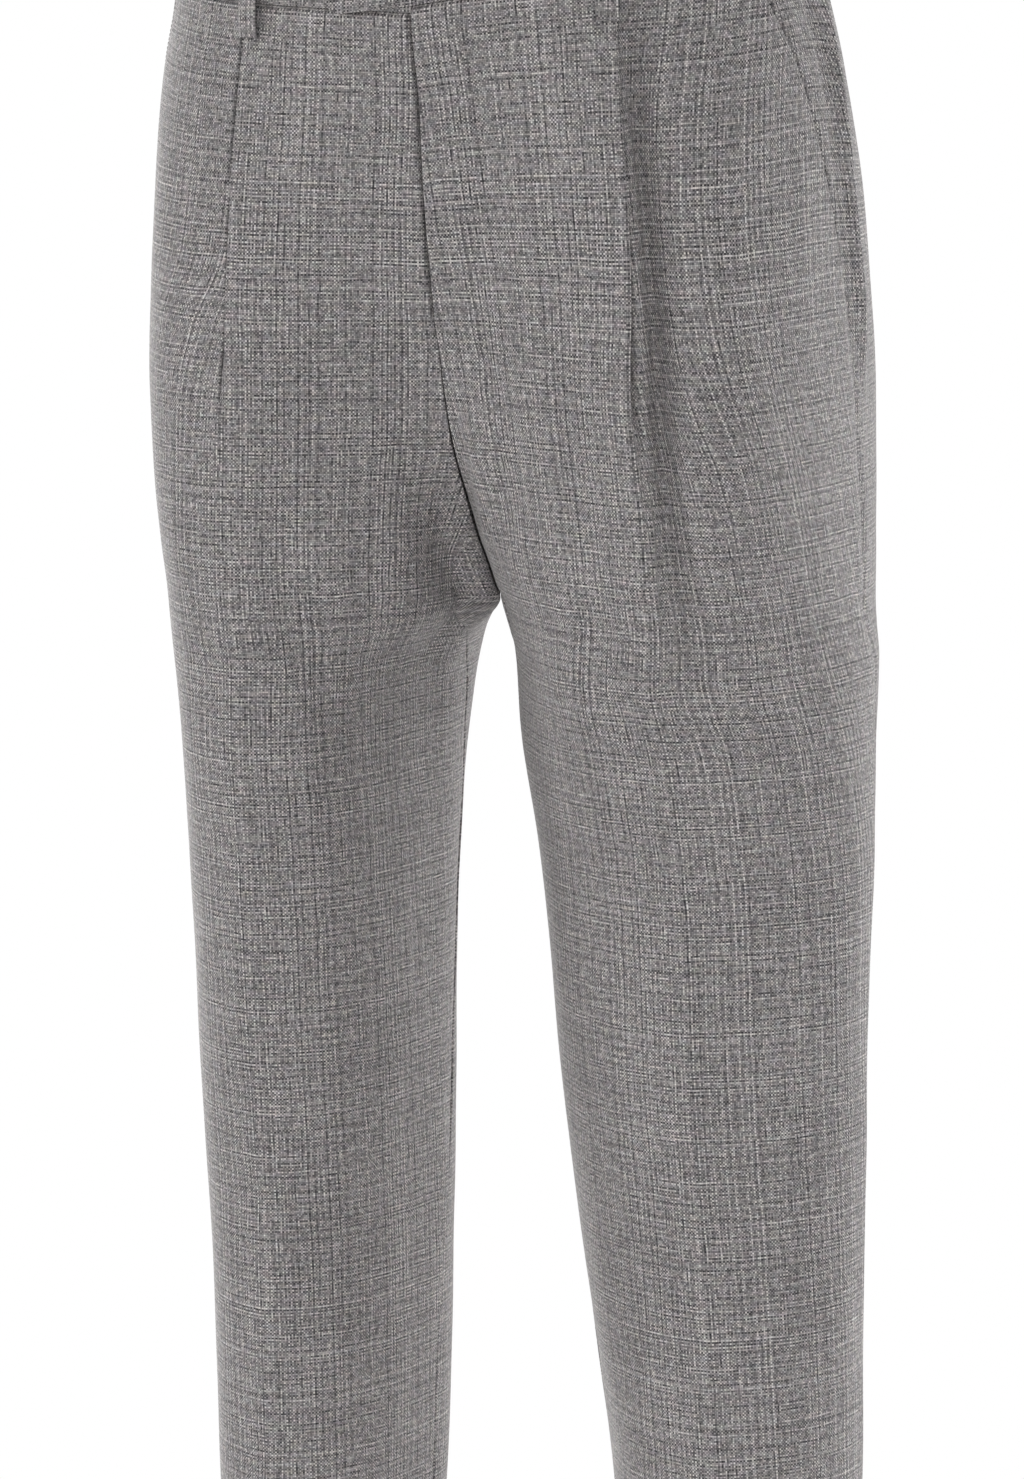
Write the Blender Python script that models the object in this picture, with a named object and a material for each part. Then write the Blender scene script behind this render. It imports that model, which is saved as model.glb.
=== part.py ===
"""Men's pleated dress trousers, worn: two legs joined at the rise, a single
reverse pleat on each front, a lapped fly, slant pockets, a waistband with a
closing tab, and belt loops.

Frame: +Z up, the front faces -Y, the wearer's left is +X. The origin is the
middle of the waistband ring at half its height. Lengths below are millimetres;
the meshes are written in metres.
"""
import math

import bpy
import numpy as np

for old in list(bpy.data.objects):
    bpy.data.objects.remove(old, do_unlink=True)

MM = 0.001

# ---- driving sizes, in millimetres ----
CLOTH = 1.6             # wall of the cloth
BAND_CLOTH = 2.2        # wall of the waistband, which is doubled cloth
GAP = 0.3               # left between two pieces at a seam
BAND_HEIGHT = 38.0      # waistband, top edge to seam
TAB_LENGTH = 42.0       # tab past the centre front
TAB_ROUND = 9.0         # rounded corners of the tab
FLY_LENGTH = 141.0      # waist seam to the end of the fly
FLY_UNDER = 12.0        # right front running under the fly edge
FLY_LIFT = 2.9          # fly edge lying over the right front
CROTCH_DROP = 282.0     # waist seam to the fork
LEG_DROP = 1065.0       # waist seam to the hem
PLEAT_UNDER = 12.0      # cloth folded under the pleat
PLEAT_SEWN = 38.0       # sewn length of the pleat
PLEAT_OPEN = 150.0      # where the folded layers part
PLEAT_END = 215.0       # where the fold has opened out
TROUGH = {1: 5.0, -1: 2.5}  # hollow that hangs outside each pleat, left and right
TROUGH_OUT = 17.0       # its middle from the pleat line
TROUGH_WIDE = 10.0
POCKET_SLANT = 31.0     # pocket mouth ahead of the side seam, at the waist
POCKET_DEPTH = 125.0    # drop at which the mouth meets the side seam
FACING_SINK = 2.7       # pocket facing behind the front
LOOP_WIDTH = 10.5
LOOP_BELOW = 15.0       # belt loop below the waist seam
LOOP_STAND = 6.6        # belt loop off the body
BUTTON_RADIUS = 7.5
BUTTON_THICK = 2.8
INSEAM_BACK = 10.0      # inseam and side seam set behind the widest line, degrees
LAYER = CLOTH + GAP     # from one cloth layer to the next
FOLD_LAYER = CLOTH + 0.6    # the same inside the pleat

# ---- sections of one half, from the waist seam down to the fork ----
# drop; centre front: y and how far its cloth turns from square;
# pleat line: x, y, turn; side seam: x, y; fullest back: x, y, turn;
# centre back: y, turn.  Turns in degrees.
PELVIS_COLUMNS = ("drop", "front_y", "front_turn", "pleat_x", "pleat_y", "pleat_turn",
                  "side_x", "side_y", "seat_x", "seat_y", "seat_turn", "back_y", "back_turn")
PELVIS = (
    (-40, -121,  0, 89, -105, 26, 151.5, -6, 72,  80, 24,  90,  0),
    (0,   -121,  0, 90, -107, 24, 154.0, -5, 74,  83, 22,  93,  0),
    (45,  -111,  0, 94, -111, 16, 161.5,  2, 80, 101, 15, 107,  0),
    (90,  -105,  0, 95, -112, 10, 166.5,  7, 85, 115, 10, 115,  0),
    (140,  -93,  3, 96, -114,  5, 169.0, 10, 87, 124,  4, 116,  4),
    (180,  -82, 13, 96, -116,  1, 170.5, 12, 87, 127,  0, 109, 12),
    (205,  -71, 26, 96, -115,  0, 171.0, 13, 88, 127,  0,  98, 22),
    (232,  -52, 48, 96, -113,  0, 172.0, 14, 89, 125,  0,  80, 40),
    (250,  -39, 62, 96, -111,  0, 172.5, 14, 89, 123,  0,  58, 56),
    (266,  -25, 68, 96, -109,  1, 173.0, 14, 89, 121,  0,  30, 66),
    (276,  -17, 67, 96, -107,  2, 173.0, 14, 89, 119,  0,   8, 66),
    (282,  -11, 66, 96, -106,  2, 173.0, 14, 89, 118,  0, -11, 66),
)
# ---- how the worn halves differ: outward shift of the pleat line and of the
# side, and how far the side seam runs ahead of the widest line
SHIFT_COLUMNS = ("drop", "pleat_left", "pleat_right", "side_left", "side_right", "seam_ahead")
SHIFTS = (
    (-40,  3, -4, 0,   4, 25),
    (0,    3, -4, 0,   4, 24),
    (45,   4, -4, 0,   4, 21),
    (90,   8, -1, 0,   2, 19),
    (140, 11,  0, 0,   0, 12),
    (180, 13,  0, 0,  -2,  6),
    (232, 15,  2, 0,  -6,  3),
    (282, 15,  4, 0, -11,  1),
    (1065, 15, 4, 0, -11,  0),
)
# ---- sections of the legs, from below the fork to the hem ----
# drop; girth of the leg; its middle x, y; half its width; how far it is
# turned outward, degrees; how far the inseam stays forward near the fork;
# how far the cloth turns away from the other leg on both sides of it, degrees
LEG_COLUMNS = ("drop", "girth", "mid_x", "mid_y", "half_width", "turn", "fork", "pinch")
LEG_LEFT = (
    (310,  613,  93,  6, 86,    8, 20, 12),
    (350,  568,  93,  9, 85,   11,  9,  5),
    (401,  508,  94, 14, 82,   12,  0,  0),
    (501,  465,  95, 23, 76,   12,  0,  0),
    (601,  440,  98, 32, 70,   13,  0,  0),
    (716,  418, 103, 40, 62,   13,  0,  0),
    (881,  382, 107, 42, 55,   13,  0,  0),
    (1065, 355, 111, 40, 50,   13,  0,  0),
)
LEG_RIGHT = (
    (310,  570, 93.5, 5, 65,    2, 10, 12),
    (350,  535,  97,  7, 57.5,  2,  3,  5),
    (401,  498, 101, 10, 57,    1,  0,  0),
    (501,  460, 104, 19, 55,    1,  0,  0),
    (601,  435, 105, 27, 53,    1,  0,  0),
    (716,  415, 108, 36, 50,    1,  0,  0),
    (881,  380, 112, 40, 47,    1,  0,  0),
    (1065, 355, 114, 40, 46,    1,  0,  0),
)
# ---- rows of the panels: from, to, steps ----
ROW_RUNS = ((0, 150, 9), (150, 240, 7), (240, 276, 4), (276, 282, 2), (282, 290, 2), (290, 350, 5),
            (350, 530, 5), (530, 1065, 7))
FRONT_COLUMNS = 6       # centre front to the pleat
SIDE_COLUMNS = 8        # pleat to the side seam
BACK_COLUMNS = 12       # side seam to the centre back


def ease(value):
    value = np.clip(value, 0.0, 1.0)
    return value * value * (3.0 - 2.0 * value)


def smooth_table(xs, ys, at):
    """A curve through a table column that never swings past its values."""
    xs = np.asarray(xs, float)
    ys = np.asarray(ys, float)
    at = np.atleast_1d(np.asarray(at, float))
    step = np.diff(xs)
    slope = np.diff(ys) / step
    grade = np.zeros(len(xs))
    grade[0] = slope[0]
    grade[-1] = slope[-1]
    for k in range(1, len(xs) - 1):
        if slope[k - 1] * slope[k] > 0:
            mean = (step[k] * slope[k - 1] + step[k - 1] * slope[k]) / (step[k] + step[k - 1])
            most = 3.0 * min(abs(slope[k - 1]), abs(slope[k]))
            grade[k] = math.copysign(min(abs(mean), most), mean)
    k = np.clip(np.searchsorted(xs, at, side="right") - 1, 0, len(xs) - 2)
    t = (at - xs[k]) / step[k]
    return ((2 * t**3 - 3 * t**2 + 1) * ys[k] + (t**3 - 2 * t**2 + t) * step[k] * grade[k]
            + (3 * t**2 - 2 * t**3) * ys[k + 1] + (t**3 - t**2) * step[k] * grade[k + 1])


def leg_marks(row):
    """Inseam, front crease, side seam and back crease of one leg section."""
    drop, girth, mid_x, mid_y, half, turn, fork, pinch = row
    deep = math.sqrt(2.0 * (girth / (2.0 * math.pi))**2 - half * half)
    angle = math.radians(turn)
    ahead = np.array([math.sin(angle), -math.cos(angle)])
    out = np.array([math.cos(angle), math.sin(angle)])
    middle = np.array([mid_x, mid_y], float)
    back = math.radians(INSEAM_BACK)
    skew = math.degrees(math.atan(half / deep * math.tan(back)))
    inner = middle - out * half * math.cos(back) - ahead * deep * math.sin(back) + np.array([0.0, -fork])
    outer = middle + out * half
    return {"inner": (*inner, -90.0 + turn + skew + pinch), "behind": -90.0 + turn + skew - pinch, "pleat": (*(middle + ahead * deep), turn),
            "side": (*outer, 90.0 + turn), "seat": (*(middle - ahead * deep), 180.0 + turn)}


def shift_at(name, drop):
    k = SHIFT_COLUMNS.index(name)
    return float(smooth_table([row[0] for row in SHIFTS], [row[k] for row in SHIFTS], drop)[0])


def mark_tables(side):
    """For each mark round the section: drops, x, y and heading of the cloth."""
    marks = {name: [] for name in ("front", "pleat", "side", "seat", "back")}
    word = "left" if side > 0 else "right"
    for values in PELVIS:
        row = dict(zip(PELVIS_COLUMNS, values))
        drop = row["drop"]
        moved = shift_at("pleat_" + word, drop)
        row["pleat_x"] += moved
        row["pleat_y"] += moved * math.tan(math.radians(row["pleat_turn"]))
        row["side_x"] += shift_at("side_" + word, drop)
        edge = [GAP / 2 + CLOTH / 2 * math.sin(math.radians(row[name])) for name in ("front_turn", "back_turn")]
        marks["front"].append((drop, edge[0], row["front_y"], -row["front_turn"]))
        marks["pleat"].append((drop, row["pleat_x"], row["pleat_y"], row["pleat_turn"]))
        marks["side"].append((drop, row["side_x"], row["side_y"], 90.0))
        marks["seat"].append((drop, row["seat_x"], row["seat_y"], 180.0 - row["seat_turn"]))
        marks["back"].append((drop, edge[1], row["back_y"], 180.0 + row["back_turn"]))
    for values in (LEG_LEFT if side > 0 else LEG_RIGHT):
        leg = leg_marks(values)
        for name in ("pleat", "side", "seat"):
            marks[name].append((values[0], *leg[name]))
        marks["front"].append((values[0], *leg["inner"]))
        marks["back"].append((values[0], *leg["inner"][:2], leg["behind"] + 360.0))
    return {name: np.array(rows, float) for name, rows in marks.items()}


MARKS = {1: mark_tables(1), -1: mark_tables(-1)}


def mark_at(side, name, drop):
    table = MARKS[side][name]
    x, y, heading = (float(smooth_table(table[:, 0], table[:, k], drop)[0]) for k in (1, 2, 3))
    if name == "back" and drop > CROTCH_DROP:
        x, y = mark_at(side, "front", drop)[:2]
    return x, y, heading


def inseam_clear(side, drop):
    """How far each panel stops short of the inseam, so the walls don't meet."""
    if drop <= CROTCH_DROP - 4.0:
        return 0.0
    corner = (mark_at(side, "front", drop)[2] + 360.0 - mark_at(side, "back", drop)[2]) / 2.0
    return GAP + CLOTH / 2.0 * math.tan(math.radians(max(corner, 0.0)))


def span(start, start_turn, end, end_turn, count=41):
    """A fair curve between two points, leaving and arriving at set headings."""
    start = np.array(start)
    end = np.array(end)
    chord = end - start
    length = math.hypot(*chord)
    line = math.atan2(chord[1], chord[0])
    a = (math.radians(start_turn) - line + math.pi) % (2 * math.pi) - math.pi
    b = (line - math.radians(end_turn) + math.pi) % (2 * math.pi) - math.pi

    def reach(p, q):
        top = 2 + math.sqrt(2) * (math.sin(p) - math.sin(q) / 16) * (math.sin(q) - math.sin(p) / 16) \
            * (math.cos(p) - math.cos(q))
        return top / (3 * (1 + 0.618 * math.cos(p) + 0.382 * math.cos(q)))

    one = start + reach(a, b) * length * np.array([math.cos(math.radians(start_turn)),
                                                   math.sin(math.radians(start_turn))])
    two = end - reach(b, a) * length * np.array([math.cos(math.radians(end_turn)),
                                                 math.sin(math.radians(end_turn))])
    t = np.linspace(0, 1, count)[:, None]
    return (1 - t)**3 * start + 3 * (1 - t)**2 * t * one + 3 * (1 - t) * t * t * two + t**3 * end


def crease_turn(drop):
    """How sharply the pressed crease breaks the section, degrees each side."""
    return float(np.interp(drop, (0, 160, 260, 400, 1045), (0, 0, 5, 10, 12)))


class Section:
    """Half a horizontal section, read by distance along the cloth."""

    def __init__(self, side, drop):
        self.side = side
        self.drop = drop
        self.other = None
        f, p, s, b, e = (mark_at(side, name, drop) for name in ("front", "pleat", "side", "seat", "back"))
        press = crease_turn(drop)
        back_press = press * float(ease((drop - 280.0) / 120.0))
        runs = (span(f[:2], f[2], p[:2], p[2] - press), span(p[:2], p[2] + press, s[:2], s[2]),
                span(s[:2], s[2], b[:2], b[2] - back_press), span(b[:2], b[2] + back_press, e[:2], e[2]))
        self.points = np.concatenate([runs[0]] + [run[1:] for run in runs[1:]])
        steps = np.hypot(*np.diff(self.points, axis=0).T)
        self.along = np.concatenate([[0.0], np.cumsum(steps)])
        self.pleat, self.seam, self.seat, self.end = (self.along[k] for k in (40, 80, 120, 160))
        self.seam -= shift_at("seam_ahead", drop)

    def at(self, s):
        """Point and outward direction at distance s from the centre front."""
        if s < 0:
            if self.other is None:
                self.other = Section(-self.side, self.drop)
            point, normal, tangent = self.other.at(-s)
            return point, normal, -tangent
        x = np.interp(s, self.along, self.points[:, 0])
        y = np.interp(s, self.along, self.points[:, 1])
        ahead = min(s + 1.5, self.end)
        behind = max(ahead - 3.0, 0.0)
        ahead = behind + 3.0
        tx = np.interp(ahead, self.along, self.points[:, 0]) - np.interp(behind, self.along, self.points[:, 0])
        ty = np.interp(ahead, self.along, self.points[:, 1]) - np.interp(behind, self.along, self.points[:, 1])
        size = math.hypot(tx, ty)
        tangent = np.array([tx, ty]) / size
        normal = np.array([tangent[1], -tangent[0]])
        flip = np.array([self.side, 1.0])
        return np.array([x, y]) * flip, normal * flip, tangent * flip


def waist_rise(side, x, y):
    """Height of the waist line above its lowest point, by place round the body."""
    x = side * x
    front = float(ease((60.0 - y) / 100.0))
    rise = 0.09 * (y + 122.0)
    if side > 0:
        dip = 3.4 + (12.0 * (1.0 - math.exp(-x / 60.0)) if x > 0 else 0.13 * x)
    else:
        dip = 1.5 * (1.0 - math.exp(-x / 35.0)) if x > 0 else 0.05 * x
    return rise + dip * front


def height(side, x, y, drop):
    fade = 1.0 - float(ease(drop / 210.0))
    return -BAND_HEIGHT / 2.0 - drop + waist_rise(side, x, y) * fade


def place(side, drop, s, off, section, below):
    """Middle of the cloth and its outward direction, in space."""
    point, normal, tangent = section.at(s)
    low, low_normal, low_tangent = below.at(s)
    x, y = point + normal * off
    z = height(side, point[0], point[1], drop)
    dz = height(side, low[0], low[1], below.drop) - z
    lean = float(np.clip(-np.dot(low - point, normal) / dz, -1.6, 1.6)) * float(ease(drop / 25.0))
    out = np.array([normal[0], normal[1], lean])
    return np.array([x, y, z]), out / np.linalg.norm(out), np.array([tangent[0], tangent[1], 0.0])


def pleat_profile(drop):
    """Under-fold length and fold angle of the pleat, degrees, at one drop."""
    open_share = float(ease((drop - PLEAT_SEWN) / (PLEAT_OPEN - PLEAT_SEWN)))
    under = 1.2 + (PLEAT_UNDER - 1.2) * (1.0 - open_share)
    fold = 180.0 * (1.0 - float(ease((drop - PLEAT_OPEN) / (PLEAT_END - PLEAT_OPEN))))
    return under, fold


def fold_path(under, fold, steps=3):
    """Points and headings across the folded layers: along, off, turn."""
    full = math.radians(fold)
    arc = FOLD_LAYER / 2.0 * math.pi
    radius = arc / full if full > 0.001 else None
    points = []
    for k in range(steps + 1):
        turn = full * k / steps
        along = radius * math.sin(turn) if radius else arc * k / steps
        off = -radius * (1.0 - math.cos(turn)) if radius else 0.0
        points.append((along, off, turn))
    along, off, turn = points[-1]
    along += under * math.cos(full)
    off -= under * math.sin(full)
    for k in range(steps + 1):
        turn = full * (1.0 - k / steps)
        if radius:
            points.append((along + radius * (math.sin(full) - math.sin(turn)),
                           off - radius * (math.cos(turn) - math.cos(full)), turn))
        else:
            points.append((along + arc * k / steps, off, turn))
    return points


ROWS = []
for first, last, count in ROW_RUNS:
    ROWS += [first + (last - first) * k / count for k in range(count)]
ROWS.append(float(LEG_DROP))


def front_offset(side, drop, s, section, depth):
    """Lift of the cloth off the plain section on the front panels."""
    near = 1.0 - ease((section.pleat - s) / 38.0) if s <= section.pleat else 0.0
    past = 1.0 - ease((s - section.pleat) / 45.0) if s > section.pleat else 0.0
    off = 0.27 * depth * near - 0.73 * depth * past
    if side < 0 and s < 0:
        off -= 1.2 * float(ease(-s / 6.0))
    if side > 0:
        lap = 1.0 - float(ease((drop - FLY_LENGTH) / 22.0))
        off += FLY_LIFT * lap * (1.0 - float(ease((s - 15.0) / 16.0)))
    if s > section.pleat:
        fall = float(ease((drop - 20.0) / 100.0)) * (1.0 - float(ease((drop - 230.0) / 130.0)))
        off -= TROUGH[side] * fall * math.exp(-((s - section.pleat - TROUGH_OUT) / TROUGH_WIDE)**2)
    return off


def front_grid(side):
    """Middle surface and outward directions of a front panel."""
    grid = []
    outs = []
    for drop in ROWS:
        section = Section(side, drop)
        below = Section(side, drop + 1.0)
        under, fold = pleat_profile(drop)
        path = fold_path(under, fold)
        depth = -path[-1][1]
        start = inseam_clear(side, drop)
        if side < 0 and drop < FLY_LENGTH:
            start = -FLY_UNDER * float(ease((FLY_LENGTH - 12.0 - drop) / 14.0))
        stop = section.seam - GAP / 2 - POCKET_SLANT * max(0.0, 1.0 - drop / POCKET_DEPTH)
        row = []
        for k in range(FRONT_COLUMNS):
            s = start + (section.pleat - start) * (k / FRONT_COLUMNS)**0.9
            row.append(place(side, drop, s, front_offset(side, drop, s, section, depth), section, below)[:2])
        top = 0.27 * depth
        for along, off, turn in path:
            middle, out, tangent = place(side, drop, section.pleat + along, top + off, section, below)
            way = out * math.cos(turn) + tangent * math.sin(turn)
            row.append((middle, way / np.linalg.norm(way)))
        begin = section.pleat + path[-1][0]
        for k in range(1, SIDE_COLUMNS + 1):
            if k == 1:
                s = section.pleat + 5.0 + 6.0 * (1.0 - fold / 180.0)
            else:
                s = section.pleat + 16.0 + (stop - section.pleat - 16.0) * (k - 1) / (SIDE_COLUMNS - 1)
                if k == 2:
                    s = max(s, section.pleat + 18.0)
            row.append(place(side, drop, max(s, begin + 1.0), front_offset(side, drop, s, section, depth),
                             section, below)[:2])
        grid.append([item[0] for item in row])
        outs.append([item[1] for item in row])
    return np.array(grid), np.array(outs)


def back_grid(side):
    """Middle surface and outward directions of a back panel."""
    grid = []
    outs = []
    for drop in ROWS:
        section = Section(side, drop)
        below = Section(side, drop + 1.0)
        row = []
        start = section.seam + GAP / 2
        marks = (0.0, 10.0, 18.0, 27.0)
        last = section.end - inseam_clear(side, drop)
        for k in range(BACK_COLUMNS + 1):
            if k < len(marks):
                s = start + marks[k]
            elif k <= 8:
                s = start + 27.0 + (section.seat - start - 27.0) * (k - 3) / 5
            else:
                s = section.seat + (last - section.seat) * (k - 8) / (BACK_COLUMNS - 8)
            ridge = 3.6 * math.exp(-((s - start - 18.0) / 7.0)**2) * (1.0 - float(ease((drop - 120.0) / 60.0)))
            row.append(place(side, drop, s, ridge, section, below)[:2])
        grid.append([item[0] for item in row])
        outs.append([item[1] for item in row])
    return np.array(grid), np.array(outs)


def wall(name, grid, outs, thick, material, flip, keep_clear=None):
    """A closed shell of even thickness about a grid of points."""
    rows, columns = grid.shape[:2]
    outer = grid + outs * thick / 2
    inner = grid - outs * thick / 2
    if keep_clear is not None:
        for layer in (outer, inner):
            keep_clear(layer)
    points = np.concatenate([outer.reshape(-1, 3), inner.reshape(-1, 3)]) * MM
    half = rows * columns

    def at(r, c, layer):
        return layer * half + r * columns + c

    faces = []
    for r in range(rows - 1):
        for c in range(columns - 1):
            a, b, d, e = at(r, c, 0), at(r, c + 1, 0), at(r + 1, c + 1, 0), at(r + 1, c, 0)
            faces += [(a, e, d), (a, d, b)]
            faces += [(a + half, d + half, e + half), (a + half, b + half, d + half)]
    for c in range(columns - 1):
        faces += [(at(0, c, 0), at(0, c + 1, 0), at(0, c + 1, 1)), (at(0, c, 0), at(0, c + 1, 1), at(0, c, 1))]
        r = rows - 1
        faces += [(at(r, c, 0), at(r, c, 1), at(r, c + 1, 1)), (at(r, c, 0), at(r, c + 1, 1), at(r, c + 1, 0))]
    for r in range(rows - 1):
        faces += [(at(r, 0, 0), at(r, 0, 1), at(r + 1, 0, 1)), (at(r, 0, 0), at(r + 1, 0, 1), at(r + 1, 0, 0))]
        c = columns - 1
        faces += [(at(r, c, 0), at(r + 1, c, 0), at(r + 1, c, 1)), (at(r, c, 0), at(r + 1, c, 1), at(r, c, 1))]
    if flip:
        faces = [face[::-1] for face in faces]
    return solid(name, points, faces, material, smooth=True)


def solid(name, points, faces, material, smooth=False):
    mesh = bpy.data.meshes.new(name)
    mesh.from_pydata([tuple(map(float, p)) for p in points], [], [tuple(face) for face in faces])
    mesh.validate()
    for polygon in mesh.polygons:
        polygon.use_smooth = smooth
    if smooth:
        mesh.set_sharp_from_angle(angle=math.radians(40.0))
    mesh.materials.append(material)
    piece = bpy.data.objects.new(name, mesh)
    bpy.context.scene.collection.objects.link(piece)
    return piece


def cloth_material(name, colour, rough=0.85):
    material = bpy.data.materials.new(name)
    material.use_nodes = True
    shader = material.node_tree.nodes["Principled BSDF"]
    shader.inputs["Base Color"].default_value = (*colour, 1.0)
    shader.inputs["Roughness"].default_value = rough
    material.diffuse_color = (*colour, 1.0)
    return material


GREY = (0.27, 0.265, 0.26)


def clear_of_middle(side):
    """Keep a half on its own side of the middle plane, below the fly."""
    def apply(layer):
        for r, drop in enumerate(ROWS):
            if drop <= CROTCH_DROP + 40.0 and (side > 0 or drop > FLY_LENGTH - 3.0):
                near = layer[r, :, 0] * side < GAP / 2
                layer[r, near, 0] = side * GAP / 2
    return apply


def build_panels():
    for side, word in ((1, "left"), (-1, "right")):
        grid, outs = front_grid(side)
        wall("front_" + word, grid, outs, CLOTH, cloth_material("worsted_front_" + word, GREY), side < 0,
             clear_of_middle(side))
        grid, outs = back_grid(side)
        wall("back_" + word, grid, outs, CLOTH, cloth_material("worsted_back_" + word, GREY), side < 0,
             clear_of_middle(side))


def build_facings():
    """The pocket facing that fills the corner behind the slant mouth."""
    for side, word in ((1, "left"), (-1, "right")):
        grid = []
        outs = []
        for drop in [row for row in ROWS if row < POCKET_DEPTH + 12.0]:
            section = Section(side, drop)
            below = Section(side, drop + 1.0)
            mouth = section.seam - POCKET_SLANT * max(0.0, 1.0 - drop / POCKET_DEPTH)
            start = mouth - 12.0
            stop = section.seam - GAP / 2
            row = []
            for j in range(6):
                s = start + (stop - start) * j / 5
                under, fold = pleat_profile(drop)
                depth = -fold_path(under, fold)[-1][1]
                off = front_offset(side, drop, s, section, depth)
                off -= FACING_SINK * (1.0 - float(ease((s - mouth - 2.0) / 12.0)))
                row.append(place(side, drop, s, off, section, below)[:2])
            grid.append([item[0] for item in row])
            outs.append([item[1] for item in row])
        wall("pocket_facing_" + word, np.array(grid), np.array(outs), CLOTH,
             cloth_material("worsted_facing_" + word, (0.25, 0.245, 0.24)), side < 0)


BAND_OFF = 0.9          # middle of the band off the panels' middle
BAND_CLEAR = 0.7        # band above the top edge of the panels
TAB_OFF = BAND_OFF + BAND_CLOTH + GAP


def band_offset(side, s):
    if side < 0:
        return BAND_OFF
    return BAND_OFF + (TAB_OFF - BAND_OFF) * (1.0 - float(ease((s - 2.0) / 26.0)))


def build_bands():
    for side, word in ((1, "left"), (-1, "right")):
        section = Section(side, 0.0)
        if side > 0:
            ss = [-TAB_LENGTH + d for d in (0.0, 1.0, 3.5, TAB_ROUND)] + [-20.0, -8.0]
            ss += [3.0, 10.0, 17.0, 24.0, 32.0]
        else:
            ss = [GAP / 2, 8.0, 16.0, 24.0, 32.0]
        ss += [32.0 + (section.end - 32.0) * k / 26 for k in range(1, 27)]
        grid = []
        outs = []
        for j in range(5):
            up = BAND_CLEAR + (BAND_HEIGHT - BAND_CLEAR) * j / 4
            row = []
            for s in ss:
                cut = 0.0
                from_end = s + TAB_LENGTH
                if side > 0 and from_end < TAB_ROUND:
                    cut = TAB_ROUND - math.sqrt(max(TAB_ROUND**2 - (TAB_ROUND - from_end)**2, 0.0))
                low = max(BAND_CLEAR, cut)
                high = BAND_HEIGHT - cut
                drop = -(low + (high - low) * (up - BAND_CLEAR) / (BAND_HEIGHT - BAND_CLEAR))
                here = Section(side, drop)
                reach = s + (here.end - section.end) * max(s - 32.0, 0.0) / (section.end - 32.0)
                row.append(place(side, drop, reach, band_offset(side, s), here, Section(side, drop + 1.0))[:2])
            grid.append([item[0] for item in row])
            outs.append([item[1] for item in row])
        grid = np.array(grid)[::-1]
        outs = np.array(outs)[::-1]
        wall("waistband_" + word, grid, outs, BAND_CLOTH, cloth_material("worsted_band_" + word, GREY), side < 0)


def build_loop(name, side, s_of, low_off):
    """A belt loop: a strip turned in at both ends, standing off the band."""
    section = Section(side, 0.0)
    s = s_of(section)
    path = []
    stand = LOOP_STAND
    top = -(BAND_HEIGHT - 1.0)
    base = BAND_OFF + BAND_CLOTH / 2 + GAP
    path.append((base, top))
    path.append((stand - 1.2, top))
    path.append((stand, top + 1.2))
    for k in range(1, 4):
        path.append((stand, top + 1.2 + (LOOP_BELOW - top - 2.4) * k / 4))
    path.append((stand, LOOP_BELOW - 1.2))
    path.append((stand - 1.2, LOOP_BELOW))
    path.append((low_off, LOOP_BELOW))
    grid = []
    outs = []
    for k, (off, drop) in enumerate(path):
        here = Section(side, drop)
        row = []
        for j in (-1, 0, 1):
            centre, out, tangent = place(side, drop, s, 0.0, here, Section(side, drop + 1.0))
            flat = np.array([out[0], out[1], 0.0]) / math.hypot(out[0], out[1])
            before = path[max(k - 1, 0)]
            after = path[min(k + 1, len(path) - 1)]
            run = np.array([after[0] - before[0], after[1] - before[1]])
            run = run / np.hypot(*run)
            way = flat * run[1] + np.array([0.0, 0.0, 1.0]) * run[0]
            row.append((centre + flat * off + tangent * j * LOOP_WIDTH / 2, way))
        grid.append([item[0] for item in row])
        outs.append([item[1] for item in row])
    wall(name, np.array(grid), np.array(outs), CLOTH, cloth_material("worsted_" + name, GREY), side < 0)


def build_loops():
    panel = CLOTH / 2 + GAP
    for side, word in ((1, "left"), (-1, "right")):
        build_loop("belt_loop_front_" + word, side, lambda sec: sec.pleat - 4.5, panel + 1.3)
        build_loop("belt_loop_side_" + word, side, lambda sec: sec.seam + 34.0, panel + 2.0)
        build_loop("belt_loop_back_" + word, side, lambda sec: sec.seat + 12.0, panel + 0.8)
    build_loop("belt_loop_centre", 1, lambda sec: sec.end, panel + 0.8)


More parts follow.
